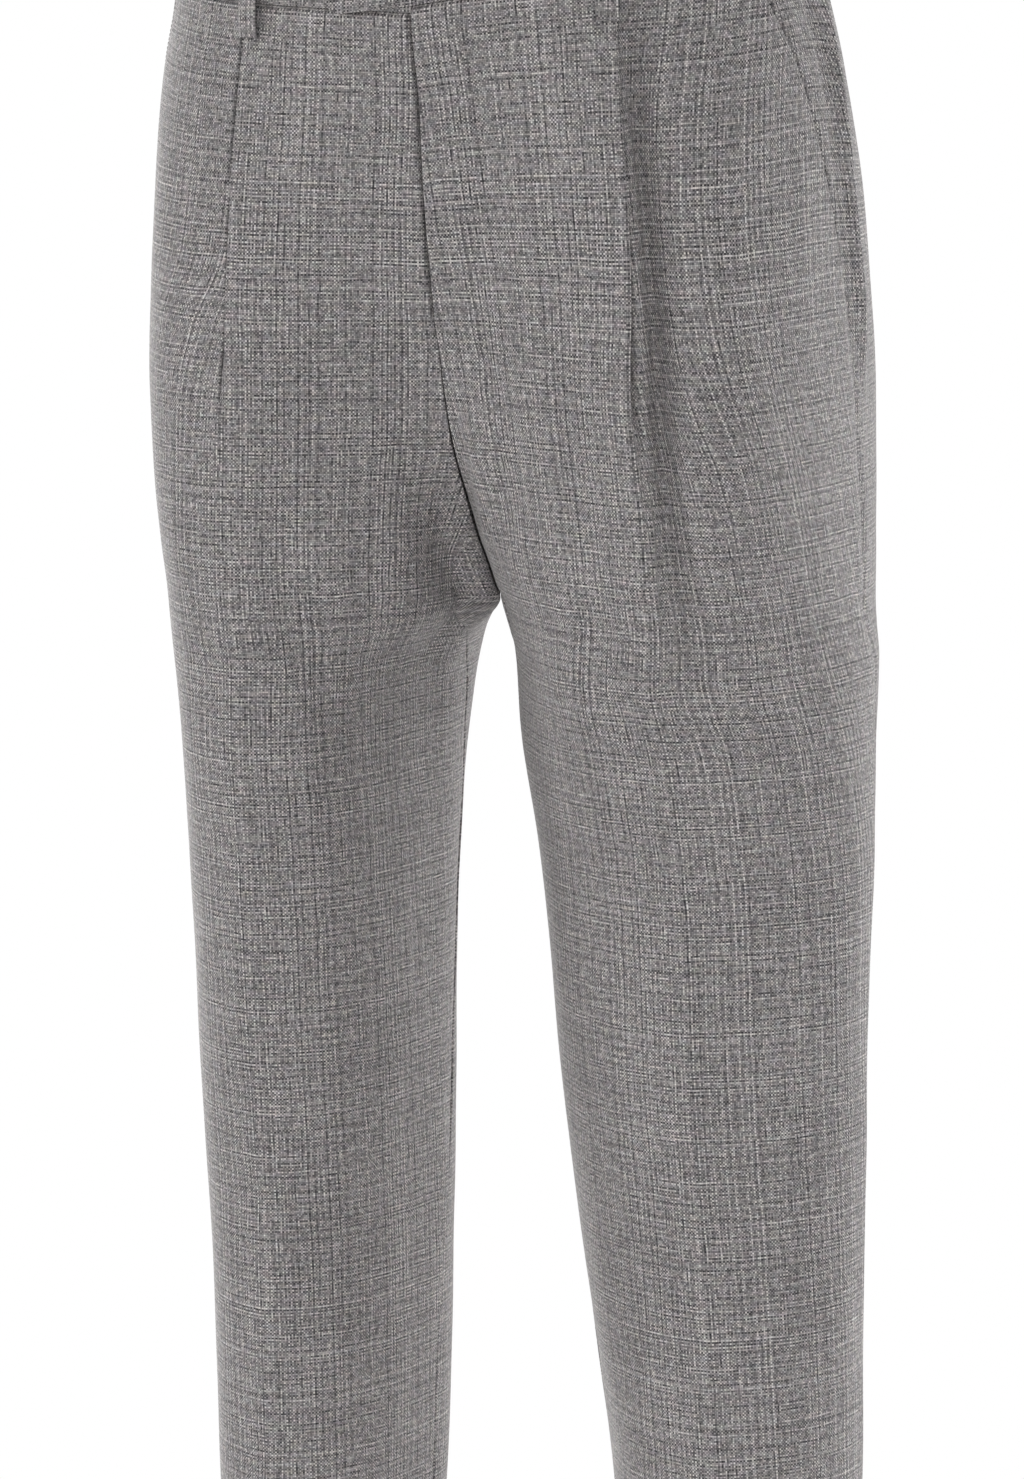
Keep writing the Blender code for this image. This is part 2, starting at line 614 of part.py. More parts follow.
def build_button():
    """A flat round button lying on the tab."""
    s = -TAB_LENGTH + 12.0
    drop = -15.0
    here = Section(1, drop)
    centre, out, tangent = place(1, drop, s, TAB_OFF + BAND_CLOTH / 2 + GAP, here, Section(1, drop + 1.0))
    up = np.cross(tangent, out)
    profile = ((BUTTON_RADIUS - 0.6, 0.0), (BUTTON_RADIUS, 0.7), (BUTTON_RADIUS, BUTTON_THICK - 0.6),
               (BUTTON_RADIUS - 0.6, BUTTON_THICK), (BUTTON_RADIUS - 1.8, BUTTON_THICK - 0.1),
               (BUTTON_RADIUS - 2.8, BUTTON_THICK - 0.8))
    around = 24
    points = [centre]
    for radius, off in profile:
        for k in range(around):
            a = 2 * math.pi * k / around
            points.append(centre + out * off + radius * (tangent * math.cos(a) + up * math.sin(a)))
    points.append(centre + out * (BUTTON_THICK - 0.8))
    faces = []
    for k in range(around):
        m = (k + 1) % around
        faces.append((0, 1 + k, 1 + m))
        for j in range(len(profile) - 1):
            a, b = 1 + j * around + k, 1 + j * around + m
            faces += [(a, a + around, b + around), (a, b + around, b)]
        last = 1 + (len(profile) - 1) * around
        faces.append((last + k, len(points) - 1, last + m))
    solid("tab_button", np.array(points) * MM, faces, cloth_material("horn_button", (0.045, 0.035, 0.04), 0.35),
          smooth=True)


build_panels()
build_facings()
build_bands()
build_loops()
build_button()
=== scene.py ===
# %% [markdown]
# # Pleated dress trousers
# This notebook dresses a ready-made frame: the plain solids of one pair of men's trousers, cut in a
# grey worsted and standing as they are worn. Each solid is replaced by a thin cloth shell of the same
# form, with its pleats, creases, seams, stitches and weave. The frame is loaded first.

# %% Load the frame
import math
from functools import lru_cache

import bpy
import numpy as np
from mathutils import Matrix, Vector


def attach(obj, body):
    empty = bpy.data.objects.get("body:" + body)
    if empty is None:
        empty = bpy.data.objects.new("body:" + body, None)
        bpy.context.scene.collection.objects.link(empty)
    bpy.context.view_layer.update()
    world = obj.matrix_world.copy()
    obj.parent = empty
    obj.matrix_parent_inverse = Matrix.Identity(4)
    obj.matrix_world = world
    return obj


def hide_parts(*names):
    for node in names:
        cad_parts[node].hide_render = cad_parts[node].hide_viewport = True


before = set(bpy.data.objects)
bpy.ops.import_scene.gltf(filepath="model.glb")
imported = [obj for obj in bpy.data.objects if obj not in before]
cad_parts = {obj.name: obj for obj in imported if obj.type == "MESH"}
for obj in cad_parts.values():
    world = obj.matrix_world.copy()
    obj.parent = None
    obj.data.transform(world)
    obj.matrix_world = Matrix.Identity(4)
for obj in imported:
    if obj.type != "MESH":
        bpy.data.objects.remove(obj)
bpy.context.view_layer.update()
MM = 0.001              # the sizes below are millimetres, and Blender works in metres
print("frame nodes:", len(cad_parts))

# %% [markdown]
# ## Camera
# Trousers are best shown through a long lens from a little above the waist, because the legs then stay
# parallel. A short lens close by would widen the hips and taper the legs. The camera circles the garment
# by `CAMERA_TURN`, looks down by `CAMERA_LIFT` and aims at the thighs.

# %% Camera
CAMERA_TURN = 21.0      # degrees round from straight ahead, towards the wearer's left
CAMERA_LIFT = 9.5       # degrees above level
CAMERA_AWAY = 3300.0
CAMERA_TARGET = (2.0, 0.0, -373.0)
LENS = 167.07           # on a 36 mm sensor


def direction(turn, lift):
    """The way from the garment to a camera or lamp at these angles."""
    a, e = math.radians(turn), math.radians(lift)
    return Vector((math.sin(a) * math.cos(e), -math.cos(a) * math.cos(e), math.sin(e)))


def add_camera():
    camera = bpy.data.objects.new("camera", bpy.data.cameras.new("camera"))
    bpy.context.scene.collection.objects.link(camera)
    away = direction(CAMERA_TURN, CAMERA_LIFT)
    camera.location = (Vector(CAMERA_TARGET) + away * CAMERA_AWAY) * MM
    camera.rotation_mode = "QUATERNION"
    camera.rotation_quaternion = (-away).to_track_quat("-Z", "Y")
    camera.data.lens = LENS
    camera.data.clip_end = 60.0
    bpy.context.scene.camera = camera


bpy.context.scene.view_settings.view_transform = "Standard"
add_camera()
print("camera at", tuple(round(c, 3) for c in bpy.context.scene.camera.location))

# %% [markdown]
# ## Floor and light
# Everything round the garment is white: the camera sees a white world, and a weaker share of it lights
# the cloth evenly, with soft darkening where cloth lies close to cloth. Broad lamps give the legs their
# roundness and the folds their depth, and two behind the garment light the fine hairs along its
# outline. One strong lamp would be simpler, but lamps this large make no hard shadow. The floor lies a
# shoe's heel below the hems, as it does when trousers are worn.

# %% Floor and light
FLOOR_DROP = 1112.0     # floor below the middle of the waistband
FLOOR_RADIUS = 1250.0
WORLD_LIGHT = 0.57      # share of the white world that lights the cloth
LAMP_AIM = (0.0, 0.0, -0.45)
# name, turn and lift in degrees, metres away, width and height, watts
LAMPS = (
    ("lamp_right", -58.0, 26.0, 2.8, (0.8, 1.2), 18.0),
    ("lamp_front", 14.0, 10.0, 2.8, (1.2, 0.8), 10.0),
    ("lamp_left", 88.0, 10.0, 2.8, (0.9, 1.6), 7.0),
    ("lamp_back_left", 152.0, 2.0, 2.6, (1.6, 2.4), 44.0),
    ("lamp_back_right", 222.0, 2.0, 2.6, (1.6, 2.4), 60.0),
)


def plain_material(name, colour, rough):
    material = bpy.data.materials.new(name)
    material.use_nodes = True
    shader = material.node_tree.nodes["Principled BSDF"]
    shader.inputs["Base Color"].default_value = (*colour, 1.0)
    shader.inputs["Roughness"].default_value = rough
    return material


def add_lamp(name, turn, lift, away, size, power):
    lamp = bpy.data.objects.new(name, bpy.data.lights.new(name, "AREA"))
    bpy.context.scene.collection.objects.link(lamp)
    lamp.location = Vector(LAMP_AIM) + direction(turn, lift) * away
    lamp.rotation_mode = "QUATERNION"
    lamp.rotation_quaternion = direction(turn, lift).to_track_quat("Z", "Y")
    lamp.data.shape = "RECTANGLE"
    lamp.data.size, lamp.data.size_y = size
    lamp.data.energy = power
    lamp.visible_camera = False


def add_stage():
    world = bpy.data.worlds.new("white studio")
    bpy.context.scene.world = world
    world.use_nodes = True
    tree = world.node_tree
    seen = tree.nodes["Background"]
    seen.inputs["Color"].default_value = (1.0, 1.0, 1.0, 1.0)
    lighting = tree.nodes.new("ShaderNodeBackground")
    lighting.inputs["Color"].default_value = (1.0, 1.0, 1.0, 1.0)
    lighting.inputs["Strength"].default_value = WORLD_LIGHT
    path = tree.nodes.new("ShaderNodeLightPath")
    mix = tree.nodes.new("ShaderNodeMixShader")
    tree.links.new(path.outputs["Is Camera Ray"], mix.inputs["Fac"])
    tree.links.new(lighting.outputs["Background"], mix.inputs[1])
    tree.links.new(seen.outputs["Background"], mix.inputs[2])
    tree.links.new(mix.outputs["Shader"], tree.nodes["World Output"].inputs["Surface"])
    bpy.ops.mesh.primitive_circle_add(vertices=96, radius=FLOOR_RADIUS * MM, fill_type="NGON",
                                      location=(0.0, 0.0, -FLOOR_DROP * MM))
    floor = bpy.context.object
    floor.name = "floor"
    floor.data.materials.append(plain_material("pale floor", (0.9, 0.9, 0.9), 0.9))


add_stage()
for lamp in LAMPS:
    add_lamp(*lamp)
print("lamps:", len(LAMPS), "with", sum(lamp[-1] for lamp in LAMPS), "watts in all")

# %% [markdown]
# ## The sizes of the cut
# A tailor thinks of trousers as a stack of girths. Each row of these short tables is one level below
# the waist seam (its `drop`), and its columns place the marks that a cutter chalks: centre front, pleat
# line, side seam, fullest back and centre back. Modelling by hand from a box could give a similar
# outline, but a table keeps every panel on one common form, so that neighbours meet at their seams. The
# values are the frame's own, repeated here because the frame holds only finished solids.

# %% The sizes of the cut
SOLID_CLOTH = 1.6       # wall of the frame's solids
CLOTH = 0.6             # wall of the cloth made here
BASE = (SOLID_CLOTH - CLOTH) / 2    # brings both outer faces together
GAP = 0.3               # between the frame's solids at a seam
SEAM_GAP = 0.06         # between two pieces of cloth at a seam: closed, but still two edges
BAND_HEIGHT = 38.0
TAB_LENGTH = 42.0
TAB_ROUND = 9.0
FLY_LENGTH = 141.0
FLY_UNDER = 12.0
CROTCH_DROP = 282.0
LEG_DROP = 1065.0
POCKET_SLANT = 31.0
POCKET_DEPTH = 125.0
INSEAM_BACK = 10.0
WORD = {1: "left", -1: "right"}

PELVIS_COLUMNS = ("drop", "front_y", "front_turn", "pleat_x", "pleat_y", "pleat_turn",
                  "side_x", "side_y", "seat_x", "seat_y", "seat_turn", "back_y", "back_turn")
PELVIS = (
    (-40, -121,  0, 89, -105, 26, 151.5, -6, 72,  80, 24,  90,  0),
    (0,   -121,  0, 90, -107, 24, 154.0, -5, 74,  83, 22,  93,  0),
    (45,  -111,  0, 94, -111, 16, 161.5,  2, 80, 101, 15, 107,  0),
    (90,  -105,  0, 95, -112, 10, 166.5,  7, 85, 115, 10, 115,  0),
    (140,  -93,  3, 96, -114,  5, 169.0, 10, 87, 124,  4, 116,  4),
    (180,  -82, 13, 96, -116,  1, 170.5, 12, 87, 127,  0, 109, 12),
    (205,  -71, 26, 96, -115,  0, 171.0, 13, 88, 127,  0,  98, 22),
    (232,  -52, 48, 96, -113,  0, 172.0, 14, 89, 125,  0,  80, 40),
    (250,  -39, 62, 96, -111,  0, 172.5, 14, 89, 123,  0,  58, 56),
    (266,  -25, 68, 96, -109,  1, 173.0, 14, 89, 121,  0,  30, 66),
    (276,  -17, 67, 96, -107,  2, 173.0, 14, 89, 119,  0,   8, 66),
    (282,  -11, 66, 96, -106,  2, 173.0, 14, 89, 118,  0, -11, 66),
)
SHIFT_COLUMNS = ("drop", "pleat_left", "pleat_right", "side_left", "side_right", "seam_ahead")
SHIFTS = (
    (-40,  3, -4, 0,   4, 25),
    (0,    3, -4, 0,   4, 24),
    (45,   4, -4, 0,   4, 21),
    (90,   8, -1, 0,   2, 19),
    (140, 11,  0, 0,   0, 12),
    (180, 13,  0, 0,  -2,  6),
    (232, 15,  2, 0,  -6,  3),
    (282, 15,  4, 0, -11,  1),
    (1065, 15, 4, 0, -11,  0),
)
# each row of a leg: drop, girth, middle in x and y, half width, turn, fork, pinch
LEG_LEFT = (
    (310,  613,  93,  6, 86,    8, 20, 12),
    (350,  568,  93,  9, 85,   11,  9,  5),
    (401,  508,  94, 14, 82,   12,  0,  0),
    (501,  465,  95, 23, 76,   12,  0,  0),
    (601,  440,  98, 32, 70,   13,  0,  0),
    (716,  418, 103, 40, 62,   13,  0,  0),
    (881,  382, 107, 42, 55,   13,  0,  0),
    (1065, 355, 111, 40, 50,   13,  0,  0),
)
LEG_RIGHT = (
    (310,  570, 93.5, 5, 65,    2, 10, 12),
    (350,  535,  97,  7, 57.5,  2,  3,  5),
    (401,  498, 101, 10, 57,    1,  0,  0),
    (501,  460, 104, 19, 55,    1,  0,  0),
    (601,  435, 105, 27, 53,    1,  0,  0),
    (716,  415, 108, 36, 50,    1,  0,  0),
    (881,  380, 112, 40, 47,    1,  0,  0),
    (1065, 355, 114, 40, 46,    1,  0,  0),
)

print("levels in the tables:", len(PELVIS), "above the fork,", len(LEG_LEFT), "below it")

# %% [markdown]
# ## Reading the tables
# A cutter joins chalk marks with a curve stick. `smooth_table` does the same down a column, as a curve
# that keeps between its own marks, because a plain spline would swing past them and make the cloth
# bulge. Above the fork the rows are read as they stand. Below it each row is turned into four marks of
# a leg: the inseam, the front crease, the side seam and the back crease, set so that the leg keeps the
# girth that a tape would measure. `ease` is the soft step used wherever one form passes into another.

# %% Reading the tables
def ease(value):
    value = np.clip(value, 0.0, 1.0)
    return value * value * (3.0 - 2.0 * value)


def smooth_table(xs, ys, at):
    """A curve through a table column that never swings past its values."""
    xs, ys = np.asarray(xs, float), np.asarray(ys, float)
    step = np.diff(xs)
    slope = np.diff(ys) / step
    grade = np.concatenate([slope[:1], np.zeros(len(xs) - 2), slope[-1:]])
    for k in range(1, len(xs) - 1):
        if slope[k - 1] * slope[k] > 0:
            mean = (step[k] * slope[k - 1] + step[k - 1] * slope[k]) / (step[k] + step[k - 1])
            most = 3.0 * min(abs(slope[k - 1]), abs(slope[k]))
            grade[k] = math.copysign(min(abs(mean), most), mean)
    k = int(np.clip(np.searchsorted(xs, at, side="right") - 1, 0, len(xs) - 2))
    t = (at - xs[k]) / step[k]
    return float((2 * t**3 - 3 * t**2 + 1) * ys[k] + (t**3 - 2 * t**2 + t) * step[k] * grade[k]
                 + (3 * t**2 - 2 * t**3) * ys[k + 1] + (t**3 - t**2) * step[k] * grade[k + 1])


def read_table(rows, drop):
    """A smooth value from each column after the drops; past the last drop nothing changes."""
    drops, *columns = zip(*rows)
    return [smooth_table(drops, column, min(drop, drops[-1])) for column in columns]


def shift_at(name, drop):
    return read_table(SHIFTS, drop)[SHIFT_COLUMNS.index(name) - 1]


def leg_marks(row):
    """Inseam, front crease, side seam and back crease of one leg section."""
    girth, mid_x, mid_y, half, turn, fork, pinch = row[1:]
    deep = math.sqrt(2.0 * (girth / (2.0 * math.pi))**2 - half * half)
    angle = math.radians(turn)
    ahead = np.array([math.sin(angle), -math.cos(angle)])
    out = np.array([math.cos(angle), math.sin(angle)])
    middle = np.array([mid_x, mid_y], float)
    back = math.radians(INSEAM_BACK)
    skew = math.degrees(math.atan(half / deep * math.tan(back)))
    inner = middle - out * half * math.cos(back) - ahead * deep * math.sin(back) + np.array([0.0, -fork])
    outer = middle + out * half
    heading = -90.0 + turn + skew
    return {"front": (*inner, heading + pinch), "back": (*inner, heading - pinch + 360.0),
            "pleat": (*(middle + ahead * deep), turn), "side": (*outer, 90.0 + turn),
            "seat": (*(middle - ahead * deep), 180.0 + turn)}


def mark_tables(side):
    """For each mark round the section: drops, x, y and heading of the cloth."""
    marks = {name: [] for name in ("front", "pleat", "side", "seat", "back")}
    for values in PELVIS:
        row = dict(zip(PELVIS_COLUMNS, values))
        drop = row["drop"]
        moved = shift_at("pleat_" + WORD[side], drop)
        pleat_y = row["pleat_y"] + moved * math.tan(math.radians(row["pleat_turn"]))
        side_x = row["side_x"] + shift_at("side_" + WORD[side], drop)
        edge = [GAP / 2 + SOLID_CLOTH / 2 * math.sin(math.radians(row[name]))
                for name in ("front_turn", "back_turn")]
        marks["front"].append((drop, edge[0], row["front_y"], -row["front_turn"]))
        marks["pleat"].append((drop, row["pleat_x"] + moved, pleat_y, row["pleat_turn"]))
        marks["side"].append((drop, side_x, row["side_y"], 90.0))
        marks["seat"].append((drop, row["seat_x"], row["seat_y"], 180.0 - row["seat_turn"]))
        marks["back"].append((drop, edge[1], row["back_y"], 180.0 + row["back_turn"]))
    for values in (LEG_LEFT if side > 0 else LEG_RIGHT):
        for name, mark in leg_marks(values).items():
            marks[name].append((values[0], *mark))
    return {name: np.array(rows, float) for name, rows in marks.items()}


MARKS = {1: mark_tables(1), -1: mark_tables(-1)}


def mark_at(side, name, drop):
    table = MARKS[side][name]
    x, y, heading = (smooth_table(table[:, 0], table[:, k], drop) for k in (1, 2, 3))
    if name == "back" and drop > CROTCH_DROP:
        x, y = mark_at(side, "front", drop)[:2]
    return x, y, heading


print("girth at the hem:", LEG_LEFT[-1][1], "mm; waist seam to hem:", LEG_DROP, "mm")

# %% [markdown]
# ## From marks to sections
# Between two marks the cloth runs in a fair curve: one Bezier arc that leaves and arrives at set
# headings, the way a bent batten would. Four arcs make half a section. Below the hip the headings on
# either side of the front and back lines differ by a few degrees, and that break is the pressed crease.
# A section is read by distance along the cloth, as with a tape measure.

# %% From marks to sections
CREASE_PRESS = ((0, 0), (160, 0), (260, 5), (400, 13), (1045, 15))     # drop, degrees each side
FORK_ROUND = 6.0        # how far the cloth is rounded on either side of the fork
ARC_STEPS = 40          # steps of one arc, from mark to mark
OVERLAP = 60            # steps that a leg's ring runs on past its ends
TANGENT_SPAN = 3.0      # the cloth's heading is read over this distance


def span(start, start_turn, end, end_turn):
    """A fair curve between two points, leaving and arriving at set headings."""
    start, end = np.array(start), np.array(end)
    chord = end - start
    length = math.hypot(*chord)
    line = math.atan2(chord[1], chord[0])
    a = (math.radians(start_turn) - line + math.pi) % (2 * math.pi) - math.pi
    b = (line - math.radians(end_turn) + math.pi) % (2 * math.pi) - math.pi

    def reach(p, q):
        skew = (math.sin(p) - math.sin(q) / 16) * (math.sin(q) - math.sin(p) / 16)
        top = 2 + math.sqrt(2) * skew * (math.cos(p) - math.cos(q))
        return top / (3 * (1 + 0.618 * math.cos(p) + 0.382 * math.cos(q)))

    leave = np.array([math.cos(math.radians(start_turn)), math.sin(math.radians(start_turn))])
    arrive = np.array([math.cos(math.radians(end_turn)), math.sin(math.radians(end_turn))])
    one = start + reach(a, b) * length * leave
    two = end - reach(b, a) * length * arrive
    t = np.linspace(0, 1, ARC_STEPS + 1)[:, None]
    return (1 - t)**3 * start + 3 * (1 - t)**2 * t * one + 3 * (1 - t) * t * t * two + t**3 * end


class Section:
    """Half a level section, read by distance along the cloth from the centre front."""

    def __init__(self, side, drop):
        self.side, self.drop = side, drop
        f, p, s, b, e = (mark_at(side, name, drop) for name in ("front", "pleat", "side", "seat", "back"))
        press = float(np.interp(drop, *zip(*CREASE_PRESS)))
        back_press = press * float(ease((drop - 280.0) / 120.0))
        runs = (span(f[:2], f[2], p[:2], p[2] - press), span(p[:2], p[2] + press, s[:2], s[2]),
                span(s[:2], s[2], b[:2], b[2] - back_press), span(b[:2], b[2] + back_press, e[:2], e[2]))
        self.points = np.concatenate([runs[0]] + [run[1:] for run in runs[1:]])
        self.along = np.concatenate([[0.0], np.cumsum(np.hypot(*np.diff(self.points, axis=0).T))])
        self.pleat, self.widest, self.seat, self.end = map(float, self.along[ARC_STEPS::ARC_STEPS])
        self.seam = self.widest - shift_at("seam_ahead", drop)
        self.start, self.first, self.last = 0.0, 0.0, self.end
        if drop > CROTCH_DROP:
            self.close_leg()

    def close_leg(self):
        """Below the fork the section is a ring: runs on past its ends, and is rounded at the inseam."""
        before, after = slice(-OVERLAP - 1, -1), slice(1, OVERLAP)
        self.points = np.concatenate([self.points[before], self.points, self.points[after]])
        self.along = np.concatenate([self.along[before] - self.end, self.along, self.along[after] + self.end])
        self.first, self.last = self.along[0], self.along[-1]
        soft = float(ease((self.drop - CROTCH_DROP) / 14.0))
        reach = np.linspace(-FORK_ROUND, FORK_ROUND, 13)
        away = np.minimum(np.abs(self.along), np.abs(self.along - self.end))
        weight = (soft * np.exp(-(away / (2.0 * FORK_ROUND))**2))[:, None]
        spread = np.clip(self.along[:, None] + reach, self.first, self.last)
        mean = np.stack([np.interp(spread, self.along, self.points[:, k]).mean(axis=1) for k in (0, 1)], 1)
        self.points = self.points * (1.0 - weight) + mean * weight

    def points_at(self, s):
        return np.stack([np.interp(s, self.along, self.points[:, k]) for k in (0, 1)], 1)

    def read(self, s):
        """Points and level outward directions at distances s, on the wearer's left."""
        behind = np.clip(s - TANGENT_SPAN / 2, self.first, self.last - TANGENT_SPAN)
        way = self.points_at(behind + TANGENT_SPAN) - self.points_at(behind)
        return self.points_at(s), np.stack([way[:, 1], -way[:, 0]], 1) / np.hypot(*way.T)[:, None]

    def at(self, s):
        """The same on either half; above the fork a distance below zero reads the other half."""
        s = np.atleast_1d(np.asarray(s, float))
        if self.drop > CROTCH_DROP:
            s = np.mod(s, self.end)
        points, normals = self.read(np.abs(s))
        if (s < 0).any():
            other = section_at(-self.side, self.drop)
            over = other.read(np.abs(s))
            cross = s < 0
            points[cross] = over[0][cross] * (-1.0, 1.0)
            normals[cross] = over[1][cross] * (-1.0, 1.0)
        return points * (self.side, 1.0), normals * (self.side, 1.0)


@lru_cache(maxsize=None)
def rounded_section(side, drop):
    return Section(side, drop)


def section_at(side, drop):
    """Each section is worked out once, however often it is read."""
    return rounded_section(side, round(float(drop), 3))


print("half girths at the hip:", [round(section_at(side, 200.0).end) for side in (1, -1)], "mm")

# %% [markdown]
# ## From the tape to a place
# A waistband is not level when it is worn: it climbs from the front to the back, and on the wearer's
# left a little more than on the right. Moving finished meshes up and down would part them at their seams,
# so every piece asks `place` where a reading of the tape lies, and all of them follow one waist line.

# %% From the tape to a place
# each half of the waist line: its height at the middle, how much it climbs and over what distance, and its
# slope across the middle
WAIST_RISE = {1: (3.4, 12.0, 60.0, 0.13), -1: (0.0, 1.5, 35.0, 0.05)}
WAIST_TILT = 0.09       # from front to back
WAIST_FADE = 210.0      # by this drop the levels are level


def waist_rise(side, x, y):
    """Height of the waist line above its lowest point, by place round the body."""
    middle, climb, over, slope = WAIST_RISE[side]
    x = side * x
    dip = middle + np.where(x > 0, climb * (1.0 - np.exp(-np.maximum(x, 0.0) / over)), slope * x)
    return WAIST_TILT * (y + 122.0) + dip * ease((60.0 - y) / 100.0)


def place(side, drop, s, off):
    """Points of the cloth at one drop: s along the section, off outwards."""
    section = section_at(side, drop)
    points, normals = section.at(s)
    fade = 1.0 - ease(drop / WAIST_FADE)
    z = -BAND_HEIGHT / 2.0 - drop + waist_rise(side, points[:, 0], points[:, 1]) * fade
    level = points + normals * np.broadcast_to(off, len(points))[:, None]
    return np.column_stack([level, z])


print("left side seam at the hip:", place(1, 200.0, [section_at(1, 200.0).seam], 0.0)[0].round(1), "mm")

# %% [markdown]
# ## Folds in the worn cloth
# Worn trousers are never smooth. Troughs run down beside the pleats, drag lines lead from the
# fork to the thigh, and softer ones lie behind the knees and under the seat. A cloth simulation would
# place them by chance, so here each fold is one row of a table: the marks that its line
# passes, how wide it is on either side, how deep, and where along the line it is fullest. A mark is
# `(drop, across)`, with across counted from the pleat line, the seat line or the start of the section
# at the centre front. A negative depth is a trough. Every panel reads the same table, so a fold carries
# on across a seam.

# %% Folds in the worn cloth
FOLD_COLUMNS = ("side", "line", "marks", "width_in", "width_out", "depth", "fullest")
FOLDS = (
    # the wearer's left front
    (1, "start", ((150, 17), (215, 19), (270, 27)), 8, 15, 4.5, 0.60),
    (1, "pleat", ((150, -30), (202, -33), (290, -28), (338, -16), (425, -6)), 13, 13, -3.4, 0.52),
    (1, "pleat", ((30, -50), (132, -59), (300, -66)), 12, 13, 2.0, 0.45),
    (1, "pleat", ((146, -103), (170, -84), (210, -66)), 5, 5, -1.2, 0.30),
    (1, "pleat", ((60, 40), (150, 46), (260, 52)), 14, 14, 1.6, 0.50),
    (1, "pleat", ((402, -60), (396, -20), (404, 44)), 9, 8, -0.8, 0.50),
    (1, "pleat", ((560, -48), (548, -6), (560, 40)), 16, 14, -1.4, 0.50),
    # the wearer's right front
    (-1, "pleat", ((44, 5), (90, 8), (150, 8), (232, 10)), 6, 12, -2.4, 0.50),
    (-1, "pleat", ((120, -21), (196, -27), (300, -34), (342, -54), (350, -92)), 9, 10, -3.6, 0.55),
    (-1, "start", ((180, 10), (235, 12), (330, 22)), 7, 20, -10.0, 0.62),
    (-1, "pleat", ((128, -70), (144, -86), (152, -102)), 5, 6, -1.2, 0.60),
    (-1, "pleat", ((196, -60), (262, -66), (330, -90)), 10, 12, -2.0, 0.60),
    (-1, "pleat", ((384, -96), (380, -30), (386, 52)), 8, 7, 0.9, 0.50),
    (-1, "pleat", ((590, -44), (578, -4), (590, 40)), 16, 14, -1.4, 0.50),
    # the backs: drag from the fork under the seat, slack behind the knee, a break above the hem
    (1, "seat", ((262, 74), (296, 40), (330, -6), (340, -52)), 11, 12, -3.4, 0.45),
    (1, "seat", ((318, 60), (356, 26), (384, -18)), 10, 11, -2.4, 0.45),
    (1, "seat", ((40, 12), (104, 16), (190, 26)), 14, 14, -1.6, 0.50),
    (1, "seat", ((484, 46), (502, 8), (496, -40)), 10, 10, -3.0, 0.50),
    (1, "seat", ((530, 40), (548, 2), (540, -34)), 10, 10, -2.0, 0.45),
    (-1, "seat", ((270, 70), (300, 34), (324, -16), (338, -50)), 11, 12, -3.0, 0.50),
    (-1, "seat", ((330, 58), (362, 22), (378, -26)), 10, 11, -2.6, 0.40),
    (-1, "seat", ((50, 10), (120, 14), (200, 30)), 14, 14, -1.6, 0.50),
    (-1, "seat", ((496, 40), (508, 4), (500, -42)), 10, 10, -2.8, 0.50),
    (-1, "seat", ((546, 44), (556, 6), (548, -30)), 10, 10, -2.2, 0.50),
    (1, "seat", ((952, 34), (972, 0), (962, -36)), 12, 12, -1.6, 0.50),
    (-1, "seat", ((936, 32), (958, 2), (950, -34)), 12, 12, -1.6, 0.50),
)


def smooth_path(marks, count):
    """A smooth run of points through marks, and how far along the run each point lies."""
    marks = np.array(marks, float)
    knots = np.concatenate([[0.0], np.cumsum(np.hypot(*np.diff(marks, axis=0).T))])
    at = np.linspace(0.0, knots[-1], count)
    return np.column_stack([[smooth_table(knots, marks[:, k], t) for t in at] for k in (0, 1)]), at


FOLD_STEPS = 25
FOLD_REACH = 3.0        # a fold has died out at so many times its width
FOLD_LINES = [smooth_path(row[FOLD_COLUMNS.index("marks")], FOLD_STEPS) for row in FOLDS]
SLACK_START = 30.0      # drop over which the slack sets in
# the slow unevenness of hanging cloth: waves per metre across and down, height, phase
SLACK = ((5.1, 2.3, 0.34, 0.4), (-8.7, 4.9, 0.24, 2.1), (13.0, 6.4, 0.15, 4.4), (-19.0, 11.5, 0.09, 1.3))


def slack(side, drop, s):
    """Slight unevenness that keeps the cloth from looking like sheet metal."""
    lift = np.zeros(len(s))
    for across, down, high, phase in SLACK:
        lift += high * np.sin(2 * math.pi * (across * s + down * drop) * MM + phase + side)
    return lift * float(ease(drop / SLACK_START))


def folds(side, drop, s):
    """Lift of the cloth, in millimetres, from all the folds that reach this level."""
    section = section_at(side, drop)
    lift = np.zeros(len(s))
    for values, (line, at) in zip(FOLDS, FOLD_LINES):
        fold = dict(zip(FOLD_COLUMNS, values))
        reach = FOLD_REACH * max(fold["width_in"], fold["width_out"])
        if fold["side"] != side or not line[:, 0].min() - reach < drop < line[:, 0].max() + reach:
            continue
        across = s - getattr(section, fold["line"])
        if drop > CROTCH_DROP:
            across = (across + section.end / 2) % section.end - section.end / 2
        here = np.column_stack([np.full(len(across), drop), across])[:, None]
        step = np.diff(line, axis=0)
        along = np.clip(((here - line[:-1]) * step).sum(-1) / (step**2).sum(-1), 0.0, 1.0)
        away = here - line[:-1] - along[..., None] * step
        far = np.hypot(away[..., 0], away[..., 1])
        nearest, shares = far.argmin(axis=1), at / at[-1]
        pick = (np.arange(len(across)), nearest)
        share = shares[nearest] + along[pick] * (shares[1] - shares[0])
        distance = far[pick]
        width = np.where(away[pick][:, 1] < 0, fold["width_in"], fold["width_out"])
        swell = ease(share / fold["fullest"]) * ease((1.0 - share) / (1.0 - fold["fullest"]))
        lift += fold["depth"] * swell * np.exp(-(distance / width)**2)
    return lift + slack(side, drop, s)


